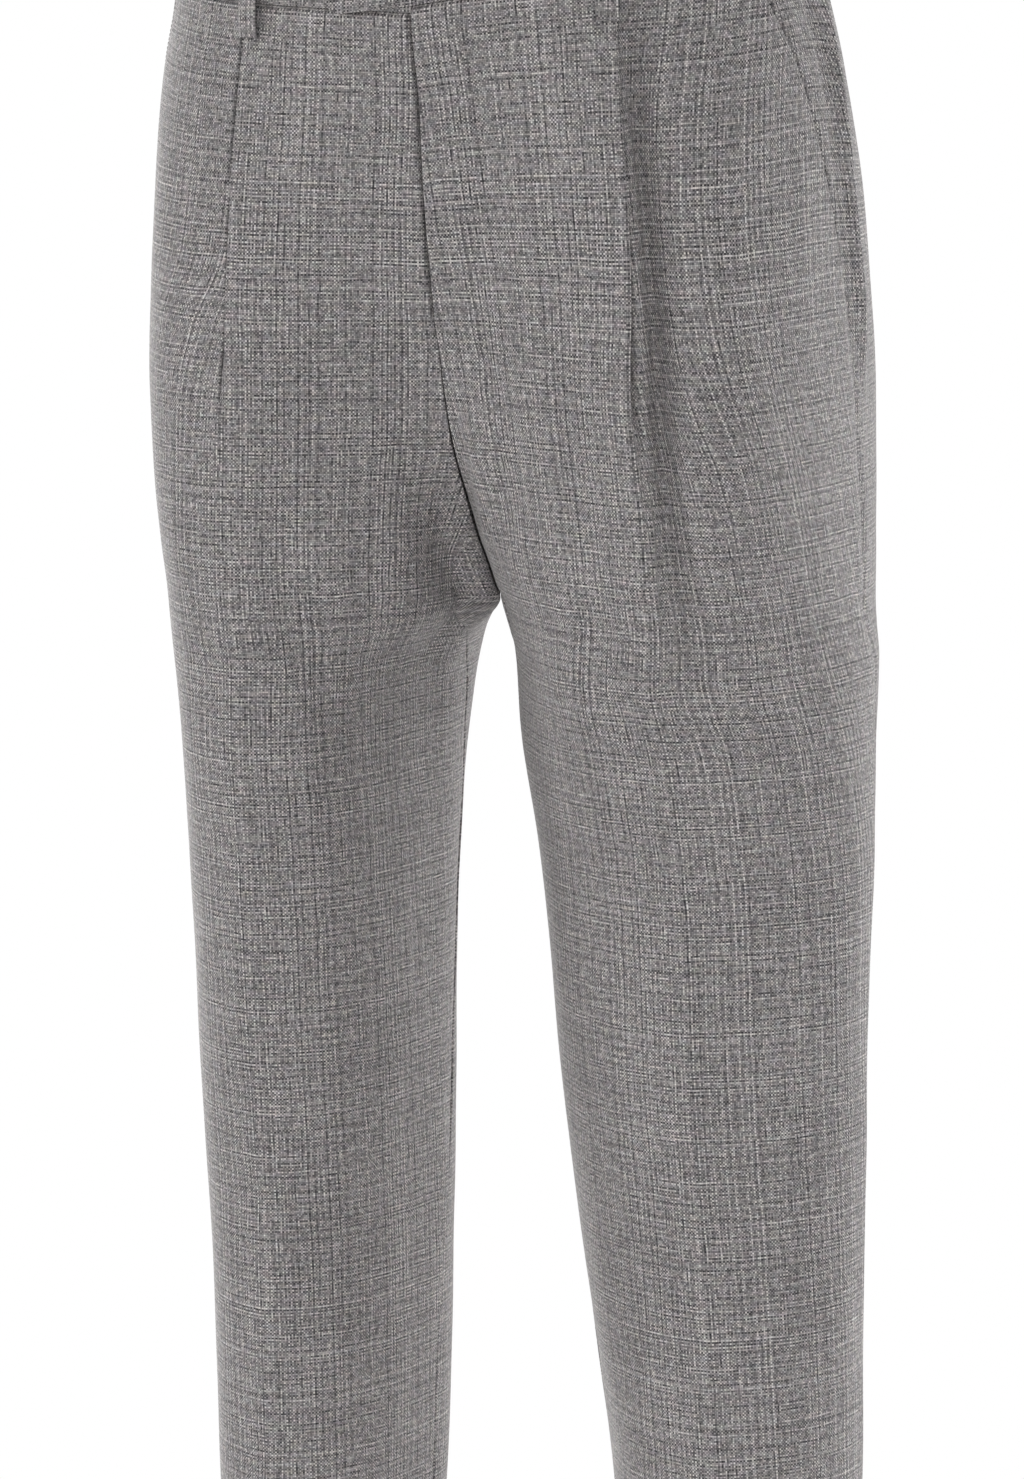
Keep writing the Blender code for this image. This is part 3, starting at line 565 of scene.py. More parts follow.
print("folds set by hand:", len(FOLDS))

# %% [markdown]
# ## Edges and pleats as paths
# Across a panel the cloth is more than a smooth line: at a seam it rolls inwards, at the fly and the
# pocket mouth it is folded right back, and at the pleat it lies in three layers. Each of these is a
# short path of `(along, off)` steps, and a panel strings them together, level by level. The rolled edge
# gives a seam its fine dark groove without any painted line, and it holds from every side.

# %% Edges and pleats as paths
ROLL = 0.6              # radius of the cloth's middle round an edge
SEAM_DEEP = 2.2         # cloth turned in at a seam
FACING_DEEP = 11.0      # cloth folded back at the fly and the pocket mouth
# the pleat: drop, gap from layer to layer, cloth folded under, and how far the fold is turned, in degrees
PLEAT = (
    (-6,  1.3, 12.0, 180),
    (30,  1.5, 12.0, 180),
    (70,  2.6, 11.0, 180),
    (110, 3.2,  9.0, 180),
    (150, 3.0,  6.0, 162),
    (185, 2.4,  4.0, 120),
    (220, 1.9,  2.6,  76),
    (260, 1.5,  1.8,  38),
    (300, 1.2,  1.2,  12),
    (340, 1.0,  1.0,   0),
    (400, 1.0,  1.0,   0),
)
PLEAT_SEWN = 1.3                        # gap where it is sewn down
PLEAT_LOFT = {1: 1.0, -1: 0.35}         # the right pleat opens less
PLEAT_CLOSED = {1: 1000.0, -1: 110.0}   # from this drop on it flattens into the crease
PLEAT_CLOSING = 100.0                   # over this drop
PLEAT_LEAST = 0.6                       # cloth folded under where it has run out
PLEAT_SHUT = {1: 0.0, -1: 0.92}         # share of its depth that the cloth beyond takes up again at once,
PLEAT_GROOVE = 2.0                      # which is over this distance
PLEAT_LEAD = {1: 2.2, -1: 0.0}          # the left fold turns before the pleat line, by this many half layers


def rolled_edge(turn, deep, steps=5, run=3):
    """Steps past the start of an edge that turns in by turn degrees and runs on by deep."""
    full = math.radians(turn)
    angle = full * np.arange(steps + 1) / steps
    tail = deep * np.arange(1, run + 1) / run
    along = np.concatenate([ROLL * np.sin(angle), ROLL * math.sin(full) + tail * math.cos(full)])
    off = np.concatenate([ROLL * (1 - np.cos(angle)), ROLL * (1 - math.cos(full)) + tail * math.sin(full)])
    return along, -off


@lru_cache(maxsize=None)
def pleat_path(side, drop, steps=7):
    """Steps across the folded layers: down round the edge, back under, and out again."""
    gap, under, fold = read_table(PLEAT, drop)
    gap = PLEAT_SEWN + (gap - PLEAT_SEWN) * PLEAT_LOFT[side] if gap > PLEAT_SEWN else gap
    flat = float(ease((drop - PLEAT_CLOSED[side]) / PLEAT_CLOSING))
    gap += (1.0 - gap) * flat
    under = PLEAT_LEAST + (under - PLEAT_LEAST) * (1.0 - flat)**3
    full = math.radians(fold * (1.0 - flat))
    arc = gap / 2.0 * math.pi
    turn = full * np.arange(steps + 1) / steps
    if full > 0.001:
        radius = arc / full
        along, off = radius * np.sin(turn), -radius * (1.0 - np.cos(turn))
    else:
        along, off = arc * np.arange(steps + 1) / steps, np.zeros(steps + 1)
    middle = (along[-1] + under / 2 * math.cos(full), off[-1] - under / 2 * math.sin(full))
    foot = (along[-1] + under * math.cos(full), off[-1] - under * math.sin(full))
    back_along = foot[0] + along[-1] - along[::-1]
    back_off = foot[1] + off[-1] - off[::-1]
    return np.concatenate([along, [middle[0]], back_along]), np.concatenate([off, [middle[1]], back_off])


print("pleat depth at the waist:", round(-pleat_path(1, 20.0)[1][-1], 2), "mm; worn open:",
      round(-pleat_path(1, 150.0)[1][-1], 2), "mm")

# %% [markdown]
# ## How each level of a panel runs
# The levels themselves are a table of runs too: close together at the waist seam and the fork, about
# three millimetres apart elsewhere, and at the foot they turn round and go back up inside, which is the
# hem. Each level is `(drop, inward, length)`, where the length down the cloth later sets the weave.

# %% How each level of a panel runs
LEVEL_RUNS = ((-6.0, 0.0, 1.5), (0.0, 6.0, 1.0), (6.0, 276.0, 3.0), (276.0, 290.0, 1.0),
              (290.0, 1063.8, 3.2))     # first drop, last drop, step
HEM_DEEP = 40.0
HEM_TURN_STEPS = 6      # round the fold of the hem
HEM_STEPS = 8           # up its inside
TUCK = 2.8              # the panels' top edge goes in behind the waistband
TUCK_DROP = 2.0         # from here up


def panel_levels():
    levels = []
    for first, last, step in LEVEL_RUNS:
        count = round((last - first) / step)
        drops = [first + (last - first) * k / count for k in range(count)]
        levels += [(drop, 0.0, drop) for drop in drops]
    start = LEG_DROP - ROLL - CLOTH / 2
    for k in range(HEM_TURN_STEPS + 1):
        turn = math.pi * k / HEM_TURN_STEPS
        levels.append((start + ROLL * math.sin(turn), ROLL * (1 - math.cos(turn)), start + ROLL * turn))
    for k in range(1, HEM_STEPS + 1):
        up = HEM_DEEP * k / HEM_STEPS
        levels.append((start - up, 2 * ROLL, start + ROLL * math.pi + up))
    return levels


LEVELS = panel_levels()
HEM_LEVEL = len(LEVELS) - HEM_STEPS - HEM_TURN_STEPS - 1    # the levels before the cloth turns up
# how far the inseam runs ahead of the innermost line of the leg: (drop, ahead)
INSEAM_AHEAD = ((238, 0), (250, 4), (262, 11), (282, 20), (290, 19), (300, 8), (310, -8), (322, -18),
                (350, -26), (400, -32), (520, -18), (700, 0), (1065, 0))
FORK_TOP = 240.0        # the back panel's point reaches up to here, between the rise and the inseam


def tuck(drop):
    """How far a panel goes in behind the waistband."""
    return TUCK * float(ease((TUCK_DROP - drop) / TUCK))


def inseam_ahead(drop):
    return read_table(INSEAM_AHEAD, drop)[0] if drop > INSEAM_AHEAD[0][0] else 0.0


def back_edge(side, drop):
    """How far before the centre back an edge starts to turn in, and by how much; so both halves meet."""
    turn = math.radians(mark_at(side, "back", min(drop, CROTCH_DROP))[2] - 180.0)
    start = CLOTH / 2 + (SEAM_GAP - GAP) / 2 + ROLL - (SOLID_CLOTH / 2 - BASE + ROLL) * math.sin(turn)
    return start / math.cos(turn), 90.0 - math.degrees(turn)

print("levels:", len(LEVELS), "of which", len(LEVELS) - HEM_LEVEL, "turn up into the hem")

# %% [markdown]
# ## The front panels
# A front is read from the fly edge over the pleat to the pocket mouth and the side seam. Its cloth is
# lifted off the common form: towards the fold of the pleat, at the fly, where one front laps over the
# other, and along the pressed seam allowance. On the opened pleat the cloth beyond the fold drops into
# a trough. Moulding these by hand on a finished mesh would be quick for one, but as short sums they are
# the same on every level and both sides.

# %% The front panels
FLY_LIFT = 2.6          # the fly edge stands off the front that runs under it
FLY_FLAT = 15.0         # it keeps this height so far from the edge, and loses it over the next stretch
FLY_SLOPE = 16.0
FLY_SHOULDER = 1.3      # the other front rises again just beside the edge
SHOULDER_FLAT = 6.0
SHOULDER_SLOPE = 22.0
FLY_SINK = 2.6          # and dips this far to pass below it
FLY_SLIT = 2.8          # width of that dip
FLY_END = 22.0          # all this fades out over so much drop below the fly
SETTLE = 38.0           # distance over which the cloth beside a pleat comes level again
FOLD_SHARE = 0.27       # share of the pleat's depth that stands out before its fold; beyond, the rest sinks
WELT_HIGH = 0.8         # the pressed seam allowance shows through ahead of the side seam
WELT_AHEAD = 6.0
WELT_WIDE = 3.5


# the cloth beyond the left pleat sinks away from the fold: drop, how deep it sinks, and the distances over
# which it goes down and comes up again
TROUGH = ((-6, 1.0, 3.0, 8.0), (30, 6.0, 3.0, 10.0), (80, 10.0, 3.0, 12.0), (150, 12.5, 3.5, 13.0),
          (215, 10.5, 8.0, 12.0), (300, 5.5, 17.0, 11.0), (360, 0.0, 24.0, 10.0), (400, 0.0, 24.0, 10.0))
TROUGH_START = -1.5     # from the pleat line


def trough(drop, reach):
    deep, down, up = read_table(TROUGH, drop)
    rise = np.maximum(reach - TROUGH_START - down, 0.0) / up
    return deep * ease((reach - TROUGH_START) / down) * np.exp(-rise**2)


def front_lift(side, drop, s, past):
    """Lift of a front panel off the frame's middle line; past marks the cloth beyond the pleat."""
    section = section_at(side, drop)
    depth = -pleat_path(side, drop)[1][-1]
    lift = FOLD_SHARE * depth * (1.0 - ease((section.pleat - s) / SETTLE))
    reach = s - section.pleat
    shut = PLEAT_SHUT[side]
    taken = shut * ease((reach - 1.3) / PLEAT_GROOVE) + (1.0 - shut) * ease((reach - 6.0) / SETTLE)
    beyond = np.where(reach < 0.0, lift - depth, (FOLD_SHARE - 1.0) * depth * (1.0 - taken))
    if side > 0:
        beyond = beyond - trough(drop, reach)
    lift = np.where(past, beyond, lift)
    lap = 1.0 - float(ease((drop - FLY_LENGTH) / FLY_END))
    if side < 0:
        under = ease((FLY_SLIT - s) / FLY_SLIT)
        beside = FLY_SHOULDER * (1.0 - ease((s - SHOULDER_FLAT) / SHOULDER_SLOPE))
        lift = lift + lap * (beside * (1.0 - under) - FLY_SINK * under)
    else:
        lift = lift + FLY_LIFT * lap * (1.0 - ease((s - FLY_FLAT) / FLY_SLOPE))
    welt = WELT_HIGH * np.exp(-((section.seam - s - WELT_AHEAD) / WELT_WIDE)**2)
    welt = welt * float(ease((drop - POCKET_DEPTH) / 20.0))
    return BASE + lift + welt + folds(side, drop, s) - tuck(drop)


def pocket_mouth(section):
    """Distance along the section of the pocket mouth, or of the side seam below it."""
    return section.seam - SEAM_GAP / 2 - POCKET_SLANT * max(0.0, 1.0 - section.drop / POCKET_DEPTH)


print("trough at its deepest:", round(float(trough(150.0, np.array([2.0]))[0]), 1), "mm")

# %% [markdown]
# ## A front, level by level
# Across one level a front is five runs strung together: the edge turned in at the fly or the seam, the
# cloth up to the pleat, the folded layers, the cloth beyond, and the edge turned in at the pocket mouth
# or the side seam. A Subdivision Surface over a coarse cage would need fewer numbers, but it rounds the
# fold of a pleat away. The columns stand closer where the form changes fast.

# %% A front, level by level
FLY_CHANGE = 10.0       # drop over which the folded fly edge becomes a seam
MOUTH_EARLY = 14.0      # so far above the pocket's end, its folded mouth starts to become a seam
MOUTH_CHANGE = 12.0
UNDER_DEEP = 0.6        # cloth turned in at the edge that runs under the fly
FRONT_COLUMNS = 44      # fly edge to the pleat
SIDE_COLUMNS = 44       # pleat to the side seam


def spread(marks, shares, count):
    """Distances from the first mark up to the last one, with a set share of the steps at each mark."""
    marks = np.maximum.accumulate(np.array(marks, float) + 0.05 * np.arange(len(marks)))
    return np.interp(np.arange(count) / count, shares, marks)


def front_level(side, drop):
    """A front panel across one level: s, off, and the column of the pleat line."""
    section = section_at(side, drop)
    pleat_along, pleat_off = pleat_path(side, drop)
    fly = 1.0 - float(ease((drop - FLY_LENGTH) / FLY_CHANGE))
    mouth = 1.0 - float(ease((drop - POCKET_DEPTH + MOUTH_EARLY) / MOUTH_CHANGE))
    edge = inseam_ahead(drop) + (SEAM_GAP / 2 if drop > FORK_TOP else 0.0)
    inner, outer = (rolled_edge(90.0 + 90.0 * open_edge, SEAM_DEEP + (FACING_DEEP - SEAM_DEEP) * open_edge)
                    for open_edge in (fly, mouth))
    if side < 0:
        edge -= FLY_UNDER * float(ease((FLY_LENGTH - 12.0 - drop) / 14.0))
        inner = rolled_edge(90.0, UNDER_DEEP + (SEAM_DEEP - UNDER_DEEP) * (1 - fly))
    first = edge + ROLL + CLOTH / 2
    last = pocket_mouth(section) - ROLL - CLOTH / 2
    depth = -pleat_off[-1]
    fold_at = section.pleat - PLEAT_LEAD[side] * (0.25 * depth + CLOTH / 2 * min(1.0, depth / 2.0))
    begin = fold_at + pleat_along[-1]
    near = first + (fold_at - first) * np.arange(FRONT_COLUMNS) / FRONT_COLUMNS
    if side < 0:
        marks = (first, max(-0.2, first + 0.4), max(3.4, first + 1.0), fold_at)
        near += fly * (spread(marks, (0.0, 0.09, 0.30, 1.0), FRONT_COLUMNS) - near)
    marks = (begin, section.pleat + 0.2, section.pleat + 3.6, section.pleat + 30.0, last)
    near, far = near[1:], spread(marks, (0.0, 0.08, 0.24, 0.62, 1.0), SIDE_COLUMNS)[1:]
    s = np.concatenate([(first - inner[0])[::-1], near, fold_at + pleat_along, far, last + outer[0]])
    extra = np.concatenate([inner[1][::-1], 0.0 * near, pleat_off, 0.0 * far, outer[1]])
    line = len(inner[0]) + len(near)
    past = np.arange(len(s)) >= line + len(pleat_off)
    return s, extra + front_lift(side, drop, s, past), line


print("columns of a front:", len(front_level(1, 100.0)[0]))

# %% [markdown]
# ## The back panels
# A back panel starts at the side seam, fills out over the seat and ends at the centre back. Its point
# passes under the fork and comes up a little in front of it, between the rise and the inseam, as on a
# real pair. So its grid has a slit: above the fork the columns beyond the centre back lie on the front,
# and no faces join them to the seat. Just behind the side seam the worn cloth stands in a small ridge,
# because the front is drawn tighter than the back. A dart or a back pocket is not modelled, since
# nothing tells where it would be.

# %% The back panels
RIDGE_HIGH = 5.0
RIDGE_BEHIND = 16.0     # behind the side seam
RIDGE_WIDE = 5.0
RIDGE_END = 135.0       # drop at which it starts to fade, and how much further down it is gone
RIDGE_FADE = 60.0
SEAM_SINK = 0.9         # just behind the side seam the back lies a little lower
SINK_WIDE = 2.5
SLIT_DEEP = 1.6         # cloth turned in at the centre back, and on the other side of the slit
RISE_DEEP = 1.0
BACK_SIDE_COLUMNS = 32
BACK_SEAT_COLUMNS = 32
POINT_COLUMNS = 8       # across the point that comes up in front of the fork


def back_lift(side, drop, s):
    section = section_at(side, drop)
    ridge = RIDGE_HIGH * np.exp(-((s - section.seam - RIDGE_BEHIND) / RIDGE_WIDE)**2)
    ridge = ridge * (1.0 - float(ease((drop - RIDGE_END) / RIDGE_FADE)))
    dip = SEAM_SINK * np.exp(-((s - section.seam - SINK_WIDE) / SINK_WIDE)**2)
    return BASE + ridge - dip + folds(side, drop, s) - tuck(drop)


def back_level(side, drop):
    """A back panel across one level: s, off, and the columns of the back crease and of the slit."""
    section = section_at(side, drop)
    meet, turn = back_edge(side, drop)
    roll = rolled_edge(90.0, SEAM_DEEP)
    slit, rise = rolled_edge(turn, SLIT_DEEP, 3, 1), rolled_edge(90.0, RISE_DEEP, 3, 1)
    inset = SEAM_GAP / 2 + ROLL + CLOTH / 2
    first = section.seam + inset
    near = spread((first, first + 30.0, section.seat), (0.0, 0.5, 1.0), BACK_SIDE_COLUMNS)[1:]
    stop = section.end - meet
    far = section.seat + (stop - section.seat) * np.arange(BACK_SEAT_COLUMNS) / BACK_SEAT_COLUMNS
    again = ROLL + CLOTH / 2 + SEAM_GAP / 2
    tip = inseam_ahead(drop) - inset
    if drop <= CROTCH_DROP:
        tip = max(tip, again + 0.4)
    point = again + (tip - again) * np.arange(1, POINT_COLUMNS) / POINT_COLUMNS
    past = 0.0 if drop <= CROTCH_DROP else section.end
    beyond = np.concatenate([(again - rise[0])[::-1], point]) + past
    inner = np.concatenate([far, stop + slit[0], beyond])
    tuck = np.concatenate([0.0 * far, slit[1], rise[1][::-1], 0.0 * point])
    if drop > CROTCH_DROP:
        even = section.seat + (tip + past - section.seat) * np.arange(len(inner)) / len(inner)
        open_out = float(ease((drop - CROTCH_DROP) / 26.0))
        inner, tuck = inner + (even - inner) * open_out, tuck * (1.0 - open_out)
    s = np.concatenate([(first - roll[0])[::-1], near, inner, tip + past + roll[0]])
    extra = np.concatenate([roll[1][::-1], 0.0 * near, tuck, roll[1]])
    line = len(roll[0]) + len(near)
    return s, extra + back_lift(side, drop, s), line, line + len(far) + len(slit[0])


print("columns of a back:", len(back_level(1, 100.0)[0]))

# %% [markdown]
# ## A cloth shell from a grid
# The grid of points is the middle of the cloth. Its thickness could come from a Solidify modifier, but
# in a pleat the layers lie so close that the modifier would push them through each other. So the shell
# is made directly: the grid's own slopes give an outward direction at each point, and half the
# thickness is added each way. A mask says which squares of the grid are cloth, and the shell is closed
# with a rim wherever a square has no neighbour. A UV map named `cloth` holds the place on the flat
# cloth in metres, across and down the warp, and the weave follows it.

# %% A cloth shell from a grid
def unit(vectors):
    return vectors / np.maximum(np.linalg.norm(vectors, axis=-1, keepdims=True), 1e-9)


def outward(grid, side, slit=None):
    """Outward direction at each point of a grid whose columns run from front to back."""
    down, across = np.gradient(grid, axis=0), np.gradient(grid, axis=1)
    if slit is not None:
        rows, column = slit
        across[rows, :column] = np.gradient(grid[rows, :column], axis=1)
        across[rows, column:] = np.gradient(grid[rows, column:], axis=1)
    return unit(np.cross(down, across)) * side


def mesh_piece(name, points, faces, material, uv=None):
    """A smooth mesh object in metres, from points in millimetres."""
    mesh = bpy.data.meshes.new(name)
    mesh.from_pydata((np.asarray(points) * MM).tolist(), [], [tuple(map(int, face)) for face in faces])
    mesh.polygons.foreach_set("use_smooth", np.ones(len(mesh.polygons), bool))
    if uv is not None:
        layer = mesh.uv_layers.new(name="cloth")
        corners = np.zeros(len(mesh.loops), int)
        mesh.loops.foreach_get("vertex_index", corners)
        layer.data.foreach_set("uv", (np.asarray(uv)[corners] * MM).astype(np.float32).ravel())
    mesh.materials.append(material)
    mesh.update()
    piece = bpy.data.objects.new(name, mesh)
    bpy.context.scene.collection.objects.link(piece)
    return piece


def shell_faces(squares):
    """Outer, inner and rim faces over the squares of a grid that are cloth."""
    rows, columns = squares.shape[0] + 1, squares.shape[1] + 1
    index = np.arange(rows * columns).reshape(rows, columns)
    a, b, c, d = index[:-1, :-1], index[1:, :-1], index[1:, 1:], index[:-1, 1:]
    outer = np.stack([a, b, c, d], -1)[squares]
    half = rows * columns
    inner = outer[:, ::-1] + half
    ringed, rims = np.pad(squares, 1), []
    left, low, right, top = ringed[1:-1, :-2], ringed[2:, 1:-1], ringed[1:-1, 2:], ringed[:-2, 1:-1]
    for neighbour, start, end in ((left, a, b), (low, b, c), (right, c, d), (top, d, a)):
        pick = squares & ~neighbour
        rims.append(np.stack([end[pick], start[pick], start[pick] + half, end[pick] + half], -1))
    return np.concatenate([outer, inner] + rims)


def grid_shell(name, grid, flat, side, material, thick=CLOTH, keep_clear=None, squares=None, slit=None):
    """A closed shell about a grid of points; flat holds each point's place on the flat cloth."""
    rows, columns = grid.shape[:2]
    out = outward(grid, side, slit)
    layers = [grid + out * thick / 2, grid - out * thick / 2]
    if keep_clear is not None:
        layers = [keep_clear(layer) for layer in layers]
    if squares is None:
        squares = np.ones((rows - 1, columns - 1), bool)
    faces = shell_faces(squares)
    if side < 0:
        faces = faces[:, ::-1]
    points = np.concatenate([layer.reshape(-1, 3) for layer in layers])
    used, faces = np.unique(faces, return_inverse=True)
    uv = np.concatenate([flat.reshape(-1, 2)] * 2)[used]
    return mesh_piece(name, points[used], faces.reshape(-1, 4), material, uv)


def flat_cut(flat, squares):
    """Width and length in metres, and area in square metres, of the cloth laid flat."""
    p = flat * MM
    a, b = p[1:, 1:] - p[:-1, :-1], p[1:, :-1] - p[:-1, 1:]
    area = (0.5 * np.abs(a[..., 0] * b[..., 1] - a[..., 1] * b[..., 0]))[squares].sum()
    corner = p[:-1, :-1][squares]
    width, length = np.ptp(corner[:, 0]), np.ptp(corner[:, 1])
    return (float(width), float(length)), float(area)


print("shell builder ready")

# %% [markdown]
# ## Short names for shader nodes
# A material in Blender is a tree of small nodes, and a weave needs more than a hundred of them. Placed
# one by one in a script they would hide what they are for. So this small class keeps the tree of one
# material and gives its usual nodes short names: sums, noise, a steady random value for each yarn, a
# colour ramp, and the last step, which joins colour and bump to the shader.

# %% Short names for shader nodes
class Recipe:
    """Short names for the nodes that one material is built of."""

    def __init__(self, name):
        self.material = bpy.data.materials.new(name)
        self.material.use_nodes = True
        self.tree = self.material.node_tree
        self.shader = self.tree.nodes["Principled BSDF"]

    def node(self, kind, **inputs):
        node = self.tree.nodes.new(kind)
        for name, value in inputs.items():
            self.feed(value, node.inputs[name.replace("_", " ")])
        return node

    def feed(self, value, socket):
        if isinstance(value, bpy.types.NodeSocket):
            self.tree.links.new(value, socket)
        else:
            socket.default_value = value

    def math(self, operation, *values):
        node = self.tree.nodes.new("ShaderNodeMath")
        node.operation = operation
        for value, socket in zip(values, node.inputs):
            self.feed(value, socket)
        return node.outputs[0]

    def at(self, x, y, z=0.0):
        return self.node("ShaderNodeCombineXYZ", X=x, Y=y, Z=z).outputs[0]

    def noise(self, x, y, z=0.0, detail=1.0, colour=False):
        node = self.node("ShaderNodeTexNoise", Vector=self.at(x, y, z), Scale=1.0, Detail=detail)
        return node.outputs["Color" if colour else "Fac"]

    def each(self, number, seed):
        """A steady random value for each whole number."""
        return self.node("ShaderNodeTexWhiteNoise", Vector=self.at(number, seed)).outputs["Value"]

    def rise(self, value, low, high):
        node = self.node("ShaderNodeMapRange", Value=value)
        node.interpolation_type = "SMOOTHSTEP"
        node.inputs["From Min"].default_value, node.inputs["From Max"].default_value = low, high
        return node.outputs[0]

    def mix(self, share, a, b):
        return self.math("ADD", self.math("MULTIPLY", a, self.math("SUBTRACT", 1.0, share)),
                         self.math("MULTIPLY", b, share))

    def more(self, shade, value, weight, middle=0.5):
        """The shade changed by a value, as far as that stands off its own middle."""
        return self.math("ADD", shade, self.math("MULTIPLY", self.math("SUBTRACT", value, middle), weight))

    def ramp(self, share, shades):
        """A colour for a share from 0 to 1, from a list of (place, colour)."""
        node = self.node("ShaderNodeValToRGB", Fac=share)
        for place_on_ramp, _ in shades[1:-1]:
            node.color_ramp.elements.new(place_on_ramp)
        for element, (_, colour) in zip(node.color_ramp.elements, shades):
            element.color = (*colour, 1.0)
        return node.outputs["Color"]

    def finish(self, colour, values, height=None, distance=0.0, strength=0.0):
        """Joins colour and bump to the shader, and sets its plain values."""
        self.feed(colour, self.shader.inputs["Base Color"])
        if height is not None:
            bump = self.node("ShaderNodeBump", Height=height, Distance=distance, Strength=strength)
            self.feed(bump.outputs["Normal"], self.shader.inputs["Normal"])
        for name, value in values.items():
            self.shader.inputs[name].default_value = value
        return self.material


print("node helpers:", [name for name in vars(Recipe) if not name.startswith("_")])

# %% [markdown]
# ## The worsted
# The cloth is a plain weave of mottled grey yarns, so no single grey will do. A picture of cloth
# wrapped on the panels would be quick, but it repeats and it blurs up close. Here the weave is worked
# out from the flat map instead: dividing a place by the yarn spacing gives the number of the warp and
# of the weft yarn there, and a checkerboard of the two numbers says which one lies on top. Each yarn
# gets its own shade, stray thick and thin stretches, called slubs, run along it, and slow bands of warp
# and weft drift over the cloth.

# %% The worsted
YARN = 0.00085          # from one yarn to the next, in metres
SLUB_WARP = 0.011       # usual length of a slub down the warp, and along the weft
SLUB_WEFT = 0.017
LIGHT_SLUB = (0.63, 0.74)   # where on the run of a yarn's shade a slub starts, and where it is full
DARK_SLUB = (0.62, 0.73)
FIBRE = 0.0007          # size of the finest specks, in metres
TINT_SIZE = (0.006, 0.004)      # patches of dye across and down, in metres
TINT_LEAST = (0.90, 0.935, 0.90)
TINT_RANGE = (0.20, 0.13, 0.20)
CLOTH_SHADES = ((0.0, (0.030, 0.029, 0.032)), (0.25, (0.120, 0.114, 0.117)), (0.5, (0.262, 0.247, 0.249)),
                (0.75, (0.450, 0.425, 0.420)), (1.0, (0.780, 0.745, 0.720)))
CLOTH_FINISH = {"Roughness": 0.82, "Specular IOR Level": 0.25, "Sheen Weight": 0.32, "Sheen Roughness": 0.34,
                "Sheen Tint": (0.95, 0.93, 0.92, 1.0)}
# how strongly each cause changes the shade of the cloth; "height" is painted shade and highlight on the weave
WEAVE = {"yarn": 0.44, "run": 0.50, "light slub": 0.16, "dark slub": 0.26, "band": 0.26, "speck": 0.44,
         "fibre": 0.08, "height": 0.32, "below": 0.28, "checker": 0.30}


def yarn_shade(r, number, along, slub, seed):
    """Shade of one yarn system, about 0.5: each yarn set off from the next one, and the slow bands."""
    beside = r.math("ADD", number, 1.0)
    tones, runs = [], []
    for yarn in (number, beside):
        tones.append(r.each(yarn, seed))
        start = r.math("MULTIPLY", r.each(yarn, seed + 1.0), 90.0)
        run = r.math("MULTIPLY_ADD", along, 1.0 / slub, start)
        runs.append(r.noise(run, r.math("MULTIPLY", yarn, 3.7), seed, 1.5))
    tone = r.math("MULTIPLY", r.math("SUBTRACT", *tones), WEAVE["yarn"])
    tone = r.math("ADD", tone, r.math("MULTIPLY", r.math("SUBTRACT", *runs), WEAVE["run"]))
    light = r.math("MULTIPLY", r.rise(runs[0], *LIGHT_SLUB), WEAVE["light slub"])
    dark = r.math("MULTIPLY", r.rise(runs[1], *DARK_SLUB), WEAVE["dark slub"])
    band = r.noise(r.math("MULTIPLY", number, 0.055), r.math("MULTIPLY", along, 9.0), seed + 7.0, 2.0)
    band = r.math("MULTIPLY", r.math("SUBTRACT", band, 0.5), WEAVE["band"])
    total = r.math("ADD", r.math("ADD", tone, band), r.math("SUBTRACT", light, dark))
    return r.math("ADD", total, 0.5)


